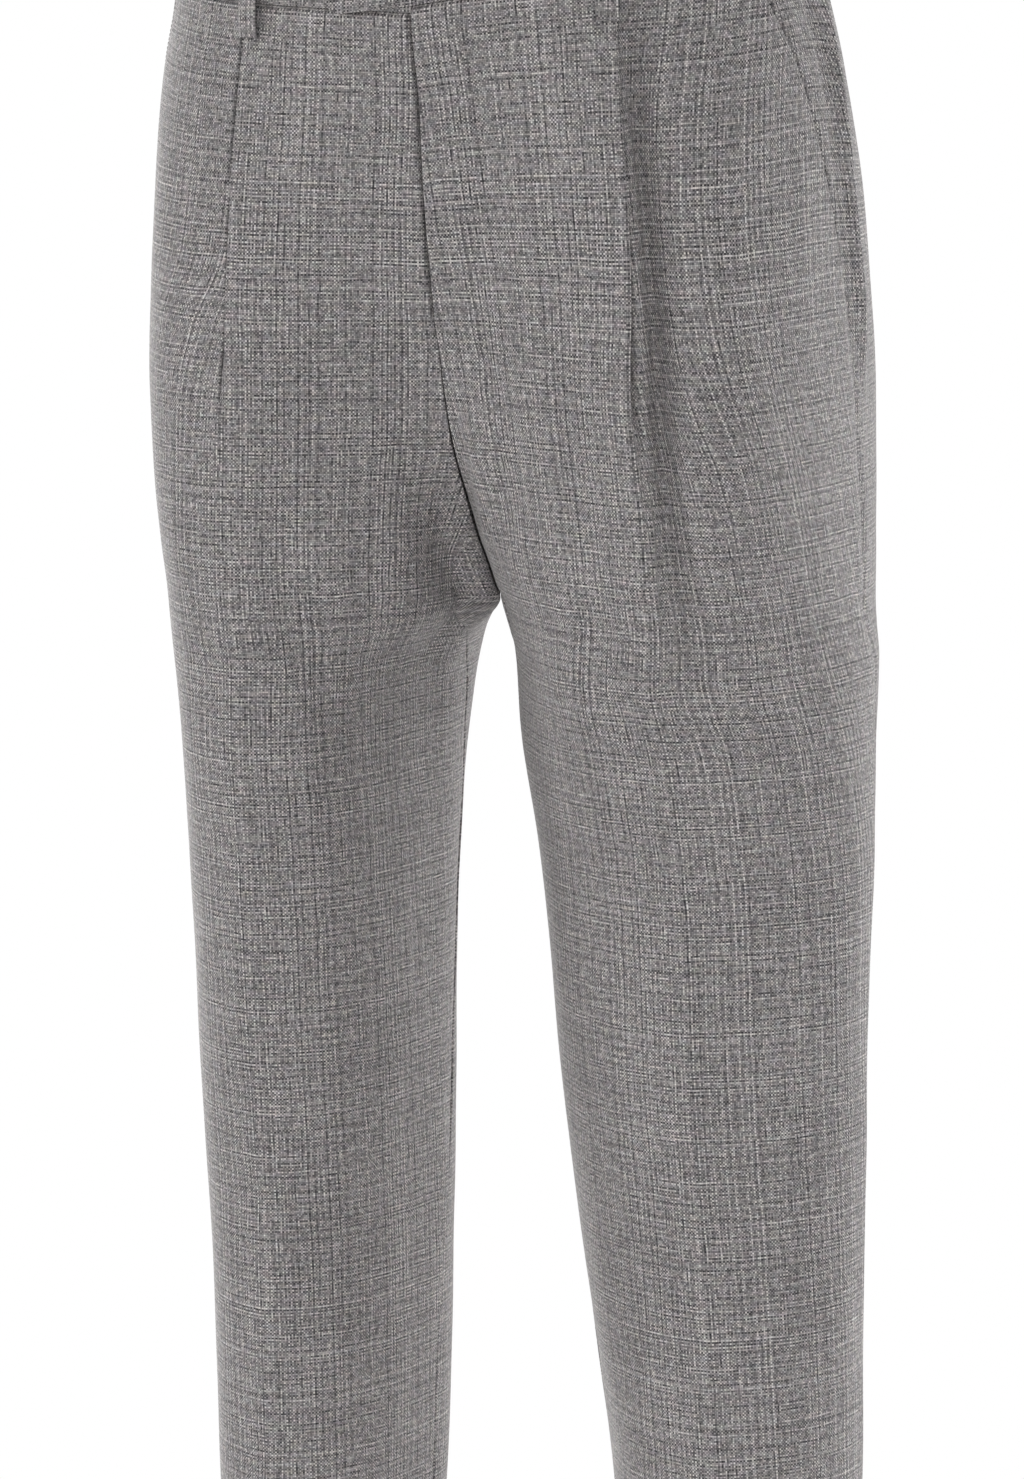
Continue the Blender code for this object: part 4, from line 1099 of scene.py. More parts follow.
def make_worsted(name):
    r = Recipe(name)
    place_on_cloth = r.tree.nodes.new("ShaderNodeUVMap")
    place_on_cloth.uv_map = "cloth"
    split = r.node("ShaderNodeSeparateXYZ", Vector=place_on_cloth.outputs[0])
    u, v = split.outputs[0], split.outputs[1]
    drift = r.noise(r.math("MULTIPLY", u, 60.0), r.math("MULTIPLY", v, 60.0), 0.0, 2.0)
    sway = r.math("MULTIPLY", r.math("SUBTRACT", drift, 0.5), 1.6)
    warp_at = r.math("ADD", r.math("MULTIPLY", u, 1.0 / YARN), sway)
    weft_at = r.math("SUBTRACT", r.math("MULTIPLY", v, 1.0 / YARN), sway)
    warp, weft = r.math("FLOOR", warp_at), r.math("FLOOR", weft_at)
    warp_round, weft_round = (r.math("SINE", r.math("MULTIPLY", r.math("FRACT", at), math.pi))
                              for at in (warp_at, weft_at))
    weft_up = r.math("FLOORED_MODULO", r.math("ADD", warp, weft), 2.0)
    height = r.mix(weft_up, r.math("MULTIPLY", warp_round, r.math("MULTIPLY_ADD", weft_round, 0.5, 0.5)),
                   r.math("MULTIPLY", weft_round, r.math("MULTIPLY_ADD", warp_round, 0.5, 0.5)))
    share = r.math("MULTIPLY_ADD", weft_up, 1.0 - 2.0 * WEAVE["below"], WEAVE["below"])
    shade = r.mix(share, yarn_shade(r, warp, v, SLUB_WARP, 3.0), yarn_shade(r, weft, u, SLUB_WEFT, 17.0))
    fibre = r.noise(r.math("MULTIPLY", u, 1.0 / FIBRE), r.math("MULTIPLY", v, 1.0 / FIBRE), 5.0, 2.0)
    speck = r.node("ShaderNodeTexWhiteNoise", Vector=r.at(warp, weft, 2.0)).outputs["Value"]
    shade = r.more(r.more(shade, speck, WEAVE["speck"]), fibre, WEAVE["fibre"])
    # painted shade and highlight: darker in the hollows between yarns, lighter on their crowns, from the same
    # height that drives the bump
    shade = r.more(shade, height, WEAVE["height"], 0.6)
    patchy = r.math("MULTIPLY_ADD", drift, 2.0, -0.1)
    crossing = r.math("MULTIPLY", r.math("SUBTRACT", 0.5, weft_up), patchy)
    shade = r.math("ADD", shade, r.math("MULTIPLY", crossing, WEAVE["checker"]))
    across, down = (r.math("MULTIPLY", at, 1.0 / size) for at, size in zip((u, v), TINT_SIZE))
    tint = r.noise(across, down, 9.0, 2.0, colour=True)
    weigh = r.node("ShaderNodeVectorMath", Vector=tint)
    weigh.operation = "MULTIPLY_ADD"
    weigh.inputs[1].default_value, weigh.inputs[2].default_value = TINT_RANGE, TINT_LEAST
    dyed = r.node("ShaderNodeVectorMath", Vector=r.ramp(shade, CLOTH_SHADES))
    dyed.operation = "MULTIPLY"
    r.feed(weigh.outputs[0], dyed.inputs[1])
    r.finish(dyed.outputs[0], CLOTH_FINISH, height, 0.00012, 0.6)
    print(name, "has", len(r.tree.nodes), "nodes;", round(0.01 / YARN), "yarns to the centimetre")
    return r.material


worsted = make_worsted("worsted")

# %% [markdown]
# ## Fronts and backs
# Each panel is now a loop over the levels. `keep_middle` holds each half a hair on its own side of the
# middle where the two meet, at the centre back and down the rise. The size the cloth was cut to is
# measured on its flat map.

# %% Fronts and backs
DROPS = np.array([level[0] for level in LEVELS])
SOFTEN = 30.0           # above and below the fork


def keep_middle(side, part):
    """Holds a half on its own side of the middle plane; the right front may cross it at the fly."""
    def clear(layer):
        rows = (DROPS <= CROTCH_DROP + 40.0) & ((side > 0) | (part == "back") | (DROPS > FLY_LENGTH - 3.0))
        near = rows[:, None] & (layer[..., 0] * side < SEAM_GAP / 2)
        layer[..., 0] = np.where(near, side * SEAM_GAP / 2, layer[..., 0])
        return layer
    return clear


def soften_fork(grid, reaches):
    """Evens out the change of form at the level of the fork, except close to the fork itself."""
    softened = grid.copy()
    offsets = np.linspace(-14.0, 14.0, 15)
    weights = np.exp(-(offsets / 8.0)**2)
    for r in np.nonzero(np.abs(DROPS - CROTCH_DROP) < SOFTEN)[0]:
        amount = float(ease((SOFTEN - abs(DROPS[r] - CROTCH_DROP)) / 16.0))
        amount = ease((reaches[r] - 12.0) / 45.0) * amount
        mean = 0.0
        for offset, weight in zip(offsets, weights / weights.sum()):
            k = np.interp(DROPS[r] + offset, DROPS[:HEM_LEVEL], np.arange(HEM_LEVEL))
            low, part = int(k), k - int(k)
            mean = mean + weight * (grid[low] * (1.0 - part) + grid[low + 1] * part)
        softened[r] += (mean - grid[r]) * amount[:, None]
    return softened


def along_cloth(s, off):
    """Distance along the cloth itself, folds and rolled edges included."""
    return np.concatenate([[0.0], np.cumsum(np.hypot(np.diff(s), np.diff(off)))])


def build_panel(part, side, level_of):
    """The shell of one front or back, and what it was cut to: its flat width and length, and its area."""
    name = "cloth_" + part + "_" + WORD[side]
    grid, flat, reaches, slit = [], [], [], None
    s, off, line, *cut_open = level_of(side, CROTCH_DROP + 1.0)
    point_across = along_cloth(s, off)[cut_open[0]] - along_cloth(s, off)[line] if cut_open else 0.0
    for drop, inward, length in LEVELS:
        s, off, line, *cut_open = level_of(side, drop)
        end = section_at(side, drop).end
        reaches.append(np.minimum(np.abs(s), np.abs(s - end)))
        grid.append(place(side, drop, s, off - inward))
        across = along_cloth(s, off)
        if cut_open and drop <= CROTCH_DROP:
            across[cut_open[0]:] += point_across - across[cut_open[0]] + across[line]
        flat.append(np.column_stack([across - across[line], np.full(len(s), length)]))
    grid, flat = soften_fork(np.array(grid), reaches), np.array(flat)
    squares = np.ones((len(grid) - 1, grid.shape[1] - 1), bool)
    if cut_open:
        column = cut_open[0]
        slit = (DROPS <= CROTCH_DROP, column)
        squares[DROPS[:-1] <= CROTCH_DROP, column - 1] = False
        squares[DROPS[:-1] < FORK_TOP, column:] = False
    piece = grid_shell(name, grid, flat, side, worsted, CLOTH, keep_middle(side, part), squares, slit)
    cut, area = flat_cut(flat, squares)
    size = [round(c / MM) for c in cut]
    print(name, len(piece.data.polygons), "faces; cut", size, "mm,", round(area, 3), "m2")
    return piece, cut, area


def finish_cloth(piece, node, cut, area):
    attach(piece, "root")
    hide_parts(node)
    min(area, cut[0] * cut[1])


for side in (1, -1):
    for part, level_of in (("front", front_level), ("back", back_level)):
        piece, cut, area = build_panel(part, side, level_of)
        finish_cloth(piece, part + "_" + WORD[side], cut, area)

# %% [markdown]
# ## Strips with soft edges
# The waistband, the belt loops and the pocket facings are strips. A doubled strip of cloth is thick in
# its middle and rounds off to its folded edges, so the shell builder gets a thickness for each point:
# full inside, and falling as a quarter circle over the last millimetre. A Bevel modifier would do this
# for one straight strip, but not where the tab's corner is round.

# %% Strips with soft edges
def soft_edge(distance, thick):
    """Thickness of a folded strip at a distance from its edge."""
    inside = np.clip(distance / (thick / 2), 0.0, 1.0)
    return thick * np.maximum(np.sqrt(1.0 - (1.0 - inside)**2), 0.12)


def close_steps(length, inner, edge=(0.0, 0.12, 0.35, 0.7, 1.2, 2.0)):
    """Distances over a length: close together at both ends, even between them."""
    edge = np.array(edge)
    middle = np.linspace(edge[-1], length - edge[-1], inner + 2)[1:-1]
    return np.concatenate([edge, middle, (length - edge)[::-1]])


def finish_strip(piece, node, width, length, grid):
    """Attaches a strip to the root and hides its frame node; its area is measured on the strip itself."""
    a, b = grid[1:, 1:] - grid[:-1, :-1], grid[1:, :-1] - grid[:-1, 1:]
    area = 0.5 * np.linalg.norm(np.cross(a, b), axis=-1).sum() * MM * MM
    finish_cloth(piece, node, (width * MM, length * MM), float(area))


print("strip thickness 0.3 mm from its edge:", round(float(soft_edge(np.array(0.3), 2.2)), 2), "mm")

# %% [markdown]
# ## Pocket facings
# Behind each slant mouth lies the pocket facing, a piece of the same cloth that fills the corner up to
# the side seam. It sits a little deeper than the front, so the mouth keeps a real shadow.

# %% Pocket facings
FACING_SINK = 2.4       # below the mouth's edge, and what is left of it just beside the edge
FACING_STEP = 0.7
FACING_UNDER = 12.0     # how far it runs in behind the mouth
FACING_DROP = 134.0
FACING_SPARE = 4.0      # above the waist seam and past the side seam
FACING_STEP_DOWN = 2.5
FACING_COLUMNS = 26


def build_facing(side):
    grid, flat = [], []
    roll = rolled_edge(90.0, 1.2)
    for drop in np.arange(-FACING_SPARE, FACING_DROP, FACING_STEP_DOWN):
        section = section_at(side, drop)
        mouth = pocket_mouth(section)
        last = section.seam - SEAM_GAP / 2 - ROLL - CLOTH / 2
        start = mouth - FACING_UNDER
        marks = (start, mouth - 0.2, mouth + 3.4, last)
        s = np.concatenate([spread(marks, (0.0, 0.15, 0.5, 1.0), FACING_COLUMNS), last + roll[0]])
        sink = (FACING_SINK - FACING_STEP) * (1.0 - ease((s - mouth - 0.4) / (2.6 + 0.02 * max(drop, 0.0))))
        sink = sink + FACING_STEP * (1.0 - ease((s - mouth - 2.0) / 10.0))
        lift = front_lift(side, drop, s, s > section.pleat) - sink
        off = lift + np.concatenate([np.zeros(FACING_COLUMNS), roll[1]])
        grid.append(place(side, drop, s, off))
        flat.append(np.column_stack([s - section.seam, np.full(len(s), drop)]))
    grid = np.array(grid)
    piece = grid_shell("facing_" + WORD[side], grid, np.array(flat), side, worsted)
    width, length = POCKET_SLANT + FACING_UNDER + FACING_SPARE, FACING_DROP + FACING_SPARE
    finish_strip(piece, "pocket_facing_" + WORD[side], width, length, grid)
    print(piece.name, len(piece.data.polygons), "faces")


for side in (1, -1):
    build_facing(side)

# %% [markdown]
# ## Waistband and tab
# The waistband is doubled cloth round a stiff lining, so it stays even and upright. The left half runs
# on past the centre front as a tab with rounded lower and upper corners, and lies over the right half.
# Near the tab's end the rows of the grid are squeezed between the two round corners.

# %% Waistband and tab
BAND_CLOTH = 2.2
BAND_OFF = 0.9          # the band's middle off the section's line
BAND_CLEAR = 0.7        # between the waist seam and the band's lower edge
TAB_OFF = BAND_OFF + BAND_CLOTH + GAP
BAND_FRONT = 32.0       # up to here the band runs as the waist seam does; the rest takes up the difference
BAND_PUFF = 0.25        # the middle of the band stands out a little


def tab_cut(s):
    """How much the tab's round corners take off its upper and lower edge."""
    from_end = np.clip(s + TAB_LENGTH, 0.0, TAB_ROUND)
    return TAB_ROUND - np.sqrt(np.maximum(TAB_ROUND**2 - (TAB_ROUND - from_end)**2, 0.0))


def band_point(side, s, up, off):
    """A point of the waistband: s along the waist seam, up from it, off the band's middle."""
    section, here = section_at(side, 0.0), section_at(side, -up)
    reach = s + (here.end - section.end) * max(s - BAND_FRONT, 0.0) / (section.end - BAND_FRONT)
    base = BAND_OFF
    if side > 0:
        base += (TAB_OFF - BAND_OFF) * (1.0 - float(ease((s - 2.0) / 26.0)))
    return place(side, -up, [reach], base + off)[0]


def build_band(side):
    section = section_at(side, 0.0)
    first = -TAB_LENGTH if side > 0 else GAP / 2
    length = section.end - first
    rows = close_steps(BAND_HEIGHT - BAND_CLEAR, 12)
    grid, flat, thick = [], [], []
    for share in rows / rows[-1]:
        points, cloth, wall = [], [], []
        for along in close_steps(length, 130):
            s = first + along
            cut = float(tab_cut(s)) if side > 0 else 0.0
            low, high = max(BAND_CLEAR, cut), BAND_HEIGHT - cut
            up = low + (high - low) * share
            edge = min(along, length - along, (high - low) * min(share, 1.0 - share))
            puff = BAND_PUFF * math.sin(math.pi * share) + 0.12 * math.sin(s / 9.0 + side)
            points.append(band_point(side, s, up, puff * min(edge / 4.0, 1.0)))
            cloth.append((up + 700.0 * side, s))
            wall.append(soft_edge(np.array(edge), BAND_CLOTH))
        grid.append(points)
        flat.append(cloth)
        thick.append(wall)
    grid, flat, thick = (np.array(rows)[::-1] for rows in (grid, flat, thick))
    piece = grid_shell("band_" + WORD[side], grid, flat, side, worsted, thick[..., None])
    finish_strip(piece, "waistband_" + WORD[side], BAND_HEIGHT, length, grid)
    print(piece.name, len(piece.data.polygons), "faces,", round(length), "mm long")


for side in (1, -1):
    build_band(side)

# %% [markdown]
# ## Belt loops
# A belt loop is a narrow tube of cloth pressed flat. Its upper end is caught in the top of the band, it
# stands off far enough for a belt, and its lower end is turned under and tacked just below the seam.
# The path of the loop is a short table of `(off, drop)` marks with a smooth line through them.

# %% Belt loops
LOOP_WIDTH = 10.5
LOOP_CLOTH = 1.5
LOOP_STEPS = 44
LOOP_PATH = ((2.6, -31.0), (2.9, -34.6), (4.0, -36.4), (5.3, -35.2), (6.1, -30.0), (6.5, -20.0),
             (6.6, -8.0), (6.3, 2.0), (5.4, 8.5), (4.3, 12.6), (3.3, 14.6), (2.6, 14.9))
LOOP_FOOT = 2.6         # off of the last mark, which each loop moves to its own panel
LOOPS = (("front_left", 1, lambda c: c.pleat - 4.5, 3.0), ("front_right", -1, lambda c: c.pleat - 4.5, 3.0),
         ("side_left", 1, lambda c: c.seam + 34.0, 3.4), ("side_right", -1, lambda c: c.seam + 34.0, 3.4),
         ("back_left", 1, lambda c: c.seat + 12.0, 2.4), ("back_right", -1, lambda c: c.seat + 12.0, 2.4),
         ("centre", 1, lambda c: c.end, 2.4))


def loop_point(side, line, off, drop, across):
    """A point of a loop: off the cloth at its middle line, and across it, level."""
    section = section_at(side, drop)
    s = line(section)
    normal = section.at([s])[1][0]
    centre = place(side, drop, [s], 0.0)[0]
    tangent = np.array([-normal[1], normal[0]]) * side
    return centre + np.append(normal * off + tangent * across, 0.0)


def loop_path(foot):
    """The (off, drop) points of a loop's middle line, and how far along it each one lies."""
    low = ease((np.array([mark[1] for mark in LOOP_PATH]) - 2.0) / 12.0)
    marks = [(off + (foot - LOOP_FOOT) * share, drop) for (off, drop), share in zip(LOOP_PATH, low)]
    return smooth_path(marks, LOOP_STEPS)


def build_loop(name, side, line, foot):
    path, at = loop_path(foot)
    length = float(at[-1])
    across = close_steps(LOOP_WIDTH, 4, (0.0, 0.12, 0.35, 0.8)) - LOOP_WIDTH / 2
    grid = np.array([[loop_point(side, line, off, drop, x) for x in across] for off, drop in path])
    s = line(section_at(side, 0.0))
    flat = np.array([[(x + 60.0 * (s + side), along) for x in across] for along in at])
    from_end = np.minimum(at, length - at)
    edge = np.minimum(from_end[:, None], (LOOP_WIDTH / 2 - np.abs(across))[None])
    piece = grid_shell("loop_" + name, grid, flat, side, worsted, soft_edge(edge, LOOP_CLOTH)[..., None])
    finish_strip(piece, "belt_loop_" + name, LOOP_WIDTH, length, grid)
    return length


for name, side, line, foot in LOOPS:
    loop_length = build_loop(name, side, line, foot)
print("belt loops:", len(LOOPS), "of", round(loop_length), "mm")

# %% [markdown]
# ## The thread
# The sewing thread is a spun grey yarn a little lighter than the cloth. Its plies are too fine to model, so
# a small noise on Object coordinates shades and roughens it.

# %% The thread
THREAD_SHADES = ((0.0, (0.30, 0.285, 0.28)), (1.0, (0.52, 0.50, 0.49)))
THREAD_FINISH = {"Roughness": 0.6, "Sheen Weight": 0.2}


def make_thread():
    r = Recipe("grey_thread")
    where = r.tree.nodes.new("ShaderNodeTexCoord").outputs["Object"]
    hairs = r.node("ShaderNodeTexNoise", Vector=where, Scale=2600.0, Detail=2.0).outputs["Fac"]
    return r.finish(r.ramp(hairs, THREAD_SHADES), THREAD_FINISH, hairs, 0.00005, 0.5)


THREAD = make_thread()
print("thread shades:", len(THREAD_SHADES))

# %% [markdown]
# ## Trees for stitches and thread
# Sewing repeats one small thing along a line, which is what Geometry Nodes do well. The first tree walks
# each line of a mesh, drops a point at every pitch and lays one stitch on it, a bead drawn out along the
# line, with a fixed seed for slight unevenness. The second tree sweeps a round thread along the line, for
# tacks, the buttonhole and the button. Both end by realizing their instances and setting the material.

# %% Trees for stitches and thread
class Tree:
    """A Geometry Nodes tree under construction: named inputs, and nodes linked as they are made."""

    def __init__(self, name, numbers):
        self.tree = bpy.data.node_groups.new(name, "GeometryNodeTree")
        self.sockets = {}
        kinds = {"Lines": "NodeSocketGeometry", "Thread": "NodeSocketMaterial", "Seed": "NodeSocketInt"}
        for label in ("Lines", *numbers, "Thread"):
            kind = kinds.get(label, "NodeSocketFloat")
            socket = self.tree.interface.new_socket(label, in_out="INPUT", socket_type=kind)
            self.sockets[label] = socket.identifier
        self.tree.interface.new_socket("Geometry", in_out="OUTPUT", socket_type="NodeSocketGeometry")
        self.given = self.tree.nodes.new("NodeGroupInput").outputs

    def node(self, kind, *links, **settings):
        node = self.tree.nodes.new(kind)
        for label, value in settings.items():
            setattr(node, label, value)
        for label, value in links:
            if isinstance(value, bpy.types.NodeSocket):
                self.tree.links.new(value, node.inputs[label])
            else:
                node.inputs[label].default_value = value
        return node.outputs

    def end(self, geometry):
        plain = self.node("GeometryNodeRealizeInstances", ("Geometry", geometry))
        smooth = self.node("GeometryNodeSetShadeSmooth", ("Geometry", plain[0]))
        made = self.node("GeometryNodeSetMaterial", ("Geometry", smooth[0]),
                         ("Material", self.given["Thread"]))
        self.node("NodeGroupOutput", ("Geometry", made[0]))
        return self


def stitch_tree():
    t = Tree("stitches along lines", ("Pitch", "Length", "Thickness", "Seed"))
    curve = t.node("GeometryNodeMeshToCurve", ("Mesh", t.given["Lines"]))
    dots = t.node("GeometryNodeCurveToPoints", ("Curve", curve[0]), ("Length", t.given["Pitch"]),
                  mode="LENGTH")
    along = t.node("FunctionNodeAlignRotationToVector", ("Vector", dots["Tangent"]), axis="X")
    bead = t.node("GeometryNodeMeshUVSphere", ("Segments", 8), ("Rings", 6), ("Radius", 0.5))
    size = t.node("ShaderNodeCombineXYZ", ("X", t.given["Length"]), ("Y", t.given["Thickness"]),
                  ("Z", t.given["Thickness"]))
    drawn = t.node("GeometryNodeTransform", ("Geometry", bead["Mesh"]), ("Scale", size[0]))
    uneven = t.node("FunctionNodeRandomValue", ("Min", (0.85, 0.8, 0.8)), ("Max", (1.1, 1.1, 1.1)),
                    ("Seed", t.given["Seed"]), data_type="FLOAT_VECTOR")
    laid = t.node("GeometryNodeInstanceOnPoints", ("Points", dots["Points"]), ("Instance", drawn[0]),
                  ("Rotation", along[0]), ("Scale", uneven["Value"]))
    return t.end(laid[0])


def thread_tree():
    t = Tree("thread along lines", ("Thickness",))
    curve = t.node("GeometryNodeMeshToCurve", ("Mesh", t.given["Lines"]))
    half = t.node("ShaderNodeMath", (0, t.given["Thickness"]), (1, 0.5), operation="MULTIPLY")
    ring = t.node("GeometryNodeCurvePrimitiveCircle", ("Resolution", 6), ("Radius", half[0]))
    tube = t.node("GeometryNodeCurveToMesh", ("Curve", curve[0]), ("Profile Curve", ring["Curve"]),
                  ("Fill Caps", True))
    return t.end(tube[0])


STITCHES, THREADS = stitch_tree(), thread_tree()
print("tree inputs:", list(STITCHES.sockets), "and", list(THREADS.sockets))

# %% [markdown]
# ## From a tree to a plain mesh
# A live modifier is handy while one works, but a finished piece should stand on its own. `bake` turns a
# result into a plain mesh and takes the modifiers off, and `thread_piece` does so for a set of lines.

# %% From a tree to a plain mesh
def bake(piece):
    """Makes the modifiers' result the piece's own plain mesh."""
    bpy.context.view_layer.update()
    mesh = bpy.data.meshes.new_from_object(piece.evaluated_get(bpy.context.evaluated_depsgraph_get()))
    piece.modifiers.clear()
    piece.data = mesh
    return piece


def thread_piece(name, lines, tree, values):
    """One piece of thread from lines of points in millimetres; values are for the tree's inputs."""
    points, edges = [], []
    for line in lines:
        edges += [(len(points) + k, len(points) + k + 1) for k in range(len(line) - 1)]
        points += list(line)
    mesh = bpy.data.meshes.new(name)
    mesh.from_pydata((np.array(points) * MM).tolist(), edges, [])
    piece = bpy.data.objects.new(name, mesh)
    bpy.context.scene.collection.objects.link(piece)
    modifier = piece.modifiers.new("threads", "NODES")
    modifier.node_group = tree.tree
    for label, value in values.items():
        modifier[tree.sockets[label]] = value
    bake(piece)
    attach(piece, "root")
    triangles = sum(len(face.vertices) - 2 for face in piece.data.polygons)
    print(name, "lines:", len(lines), "triangles:", triangles)
    return piece


print("thread builder ready")

# %% [markdown]
# ## Stitches
# Rows of topstitching hold down the pocket mouths, the tab and the edges of the belt loops. Each row is
# only a line laid on the cloth's face; the tree sets the stitches on it. Painting the rows into the
# weave would be lighter, but raised thread catches the light at the edges, where it shows most.

# %% Stitches
STITCH_PITCH = 2.5
STITCH_LENGTH = 1.9
STITCH_THICK = 0.40
STITCH_IN = 1.6         # from an edge to its row


def front_point(side, s, drop, lift=0.1):
    """A place on the face of a front panel."""
    section = section_at(side, drop)
    off = front_lift(side, drop, np.array([s]), np.array([s > section.pleat])) + CLOTH / 2 + lift
    return place(side, drop, [s], off)[0]


def tab_row():
    """Along the tab's lower edge, round its corner, up its end and round again, as (s, up)."""
    inner, turn = TAB_ROUND - STITCH_IN, TAB_ROUND - TAB_LENGTH
    corner = np.radians(np.linspace(0.0, 90.0, 7))
    low = [(s, BAND_CLEAR + STITCH_IN) for s in np.linspace(24.0, turn, 24)]
    round_low = [(turn - inner * math.sin(a), TAB_ROUND + BAND_CLEAR - inner * math.cos(a)) for a in corner]
    round_high = [(turn - inner * math.cos(a), BAND_HEIGHT - TAB_ROUND + inner * math.sin(a)) for a in corner]
    high = [(s, BAND_HEIGHT - STITCH_IN) for s in np.linspace(turn, 24.0, 24)]
    return low + round_low[1:] + round_high + high[1:]


def loop_rows(side, line, foot):
    """Both rows down the outer face of a loop."""
    path = [mark for mark in loop_path(foot)[0] if mark[0] > 4.6 and mark[1] > -33.0]
    for across in (STITCH_IN - LOOP_WIDTH / 2, LOOP_WIDTH / 2 - STITCH_IN):
        yield [loop_point(side, line, off + LOOP_CLOTH / 2, drop, across) for off, drop in path]


def stitch_lines():
    lines = []
    for side in (1, -1):
        drops = np.arange(2.0, POCKET_DEPTH - 3.0, 2.0)
        rows = [(pocket_mouth(section_at(side, drop)) - STITCH_IN - 0.4, drop) for drop in drops]
        lines.append([front_point(side, s, drop) for s, drop in rows])
    lines.append([band_point(1, s, up, BAND_CLOTH / 2 + 0.1) for s, up in tab_row()])
    for _, side, line, foot in LOOPS:
        lines += loop_rows(side, line, foot)
    return lines


thread_piece("stitches", stitch_lines(), STITCHES, {
    "Pitch": STITCH_PITCH * MM, "Length": STITCH_LENGTH * MM, "Thickness": STITCH_THICK * MM, "Seed": 4,
    "Thread": THREAD})

# %% [markdown]
# ## Bar tacks and buttonhole
# Where a seam ends under strain, a bar tack locks it: a tight zigzag of thread over a few millimetres.
# One sits at the foot of the fly, one at the foot of each pocket mouth, one at the end of the sewn
# right pleat, and one on the foot of each belt loop. The buttonhole in the tab is the same zigzag,
# worked round a slot.

# %% Bar tacks and buttonhole
TACK_THICK = 0.34
TACK_PITCH = 0.42
TACK_WIDE = 1.5
TACK_LIFT = 0.15
PLEAT_TACK = 52.0       # drop of the tack that ends the sewn part of the right pleat
LOOP_TACK = 12.2        # drop of the tack on the foot of a loop
HOLE_LENGTH = 17.0
HOLE_STITCH = 0.85      # each row of the buttonhole off its slot
HOLE_UP = 15.0          # above the band's lower edge, as the button
HOLE_FROM_END = 9.5


def zigzag(start, end, wide, pitch=TACK_PITCH):
    """Turns of thread to and fro across the way from start to end, both (s, drop)."""
    start, end = np.array(start, float), np.array(end, float)
    way = (end - start) / np.linalg.norm(end - start)
    count = int(np.linalg.norm(end - start) / pitch)
    across = np.array([-way[1], way[0]]) * wide / 2
    return [start + way * pitch * k + across * (-1)**k for k in range(count + 1)]


def tack_lines():
    left, right = (pocket_mouth(section_at(side, POCKET_DEPTH)) for side in (1, -1))
    pleat = section_at(-1, 50.0).pleat
    spots = ((1, 1.2, 7.0, FLY_LENGTH, TACK_WIDE),
             (1, left - 6.0, left - 1.2, POCKET_DEPTH, TACK_WIDE),
             (-1, right - 6.0, right - 1.2, POCKET_DEPTH, TACK_WIDE),
             (-1, pleat - 3.6, pleat - 0.4, PLEAT_TACK, 1.4))
    lines = [[front_point(side, s, drop, TACK_LIFT) for s, drop in zigzag((start, level), (end, level), wide)]
             for side, start, end, level, wide in spots]
    for _, side, line, foot in LOOPS:
        marks = zigzag((-4.0, LOOP_TACK), (4.0, LOOP_TACK), 1.6)
        lines.append([loop_point(side, line, foot + 1.7 + LOOP_CLOTH / 2 + (12.6 - drop) * 0.45, drop, across)
                      for across, drop in marks])
    near, far = HOLE_FROM_END - TAB_LENGTH, HOLE_FROM_END - TAB_LENGTH + HOLE_LENGTH
    for up in (HOLE_UP - HOLE_STITCH, HOLE_UP + HOLE_STITCH):
        marks = zigzag((near, up), (far, up), 1.2)
        lines.append([band_point(1, s, high, BAND_CLOTH / 2 + 0.35) for s, high in marks])
    return lines


thread_piece("bar_tacks", tack_lines(), THREADS, {"Thickness": TACK_THICK * MM, "Thread": THREAD})

# %% [markdown]
# ## Horn
# The button is of horn, dark and cloudy with a soft shine. A flat brown would look like plastic, so its
# colour follows a noise on Object coordinates that is drawn out level, as the layers of horn are.

# %% Horn
HORN_SHADES = ((0.0, (0.012, 0.009, 0.009)), (1.0, (0.075, 0.058, 0.052)))
HORN_FINISH = {"Roughness": 0.32, "Coat Weight": 0.15}
HORN_GRAIN = (90.0, 90.0, 420.0)    # the clouds are drawn out level


def make_horn():
    r = Recipe("horn_cloudy")
    where = r.tree.nodes.new("ShaderNodeTexCoord").outputs["Object"]
    drawn = r.node("ShaderNodeVectorMath", Vector=where)
    drawn.operation = "MULTIPLY"
    drawn.inputs[1].default_value = HORN_GRAIN
    cloud = r.node("ShaderNodeTexNoise", Vector=drawn.outputs[0], Scale=1.0, Detail=4.0, Distortion=0.6)
    return r.finish(r.ramp(r.rise(cloud.outputs["Fac"], 0.3, 0.75), HORN_SHADES), HORN_FINISH)


HORN = make_horn()
print("horn shades:", len(HORN_SHADES))

# %% [markdown]
# ## The tab button
# A horn button is turned on a lathe and then drilled. The model is made the same way: a profile swept
# round an axis that leaves the tab at a right angle, and four holes cut by a Boolean modifier. Two crossed
# strands of thread hold it.

# %% The tab button
BUTTON_IN = 12.0        # from the tab's end
BUTTON_UP = 15.0        # above the waist seam
BUTTON_PROFILE = ((6.6, 0.0), (7.2, 0.25), (7.5, 0.8), (7.5, 1.9), (7.25, 2.45), (6.8, 2.75), (6.3, 2.8),
                  (5.8, 2.6), (5.2, 2.1), (4.5, 1.85))     # radius, height
BUTTON_SIDES = 72
DISH = 1.75             # height of the middle of the dish
DRILL = 0.85
DRILL_OUT = 1.75        # from the middle to each hole
HOLES = ((1, 1), (-1, 1), (-1, -1), (1, -1))
STRAND = ((-1.0, -0.6), (-1.0, 1.4), (-0.9, 2.0), (-0.5, 2.25), (0.0, 2.3), (0.5, 2.25), (0.9, 2.0),
          (1.0, 1.4), (1.0, -0.6))      # from hole to hole: share of the way, height
STRAND_THICK = 0.42


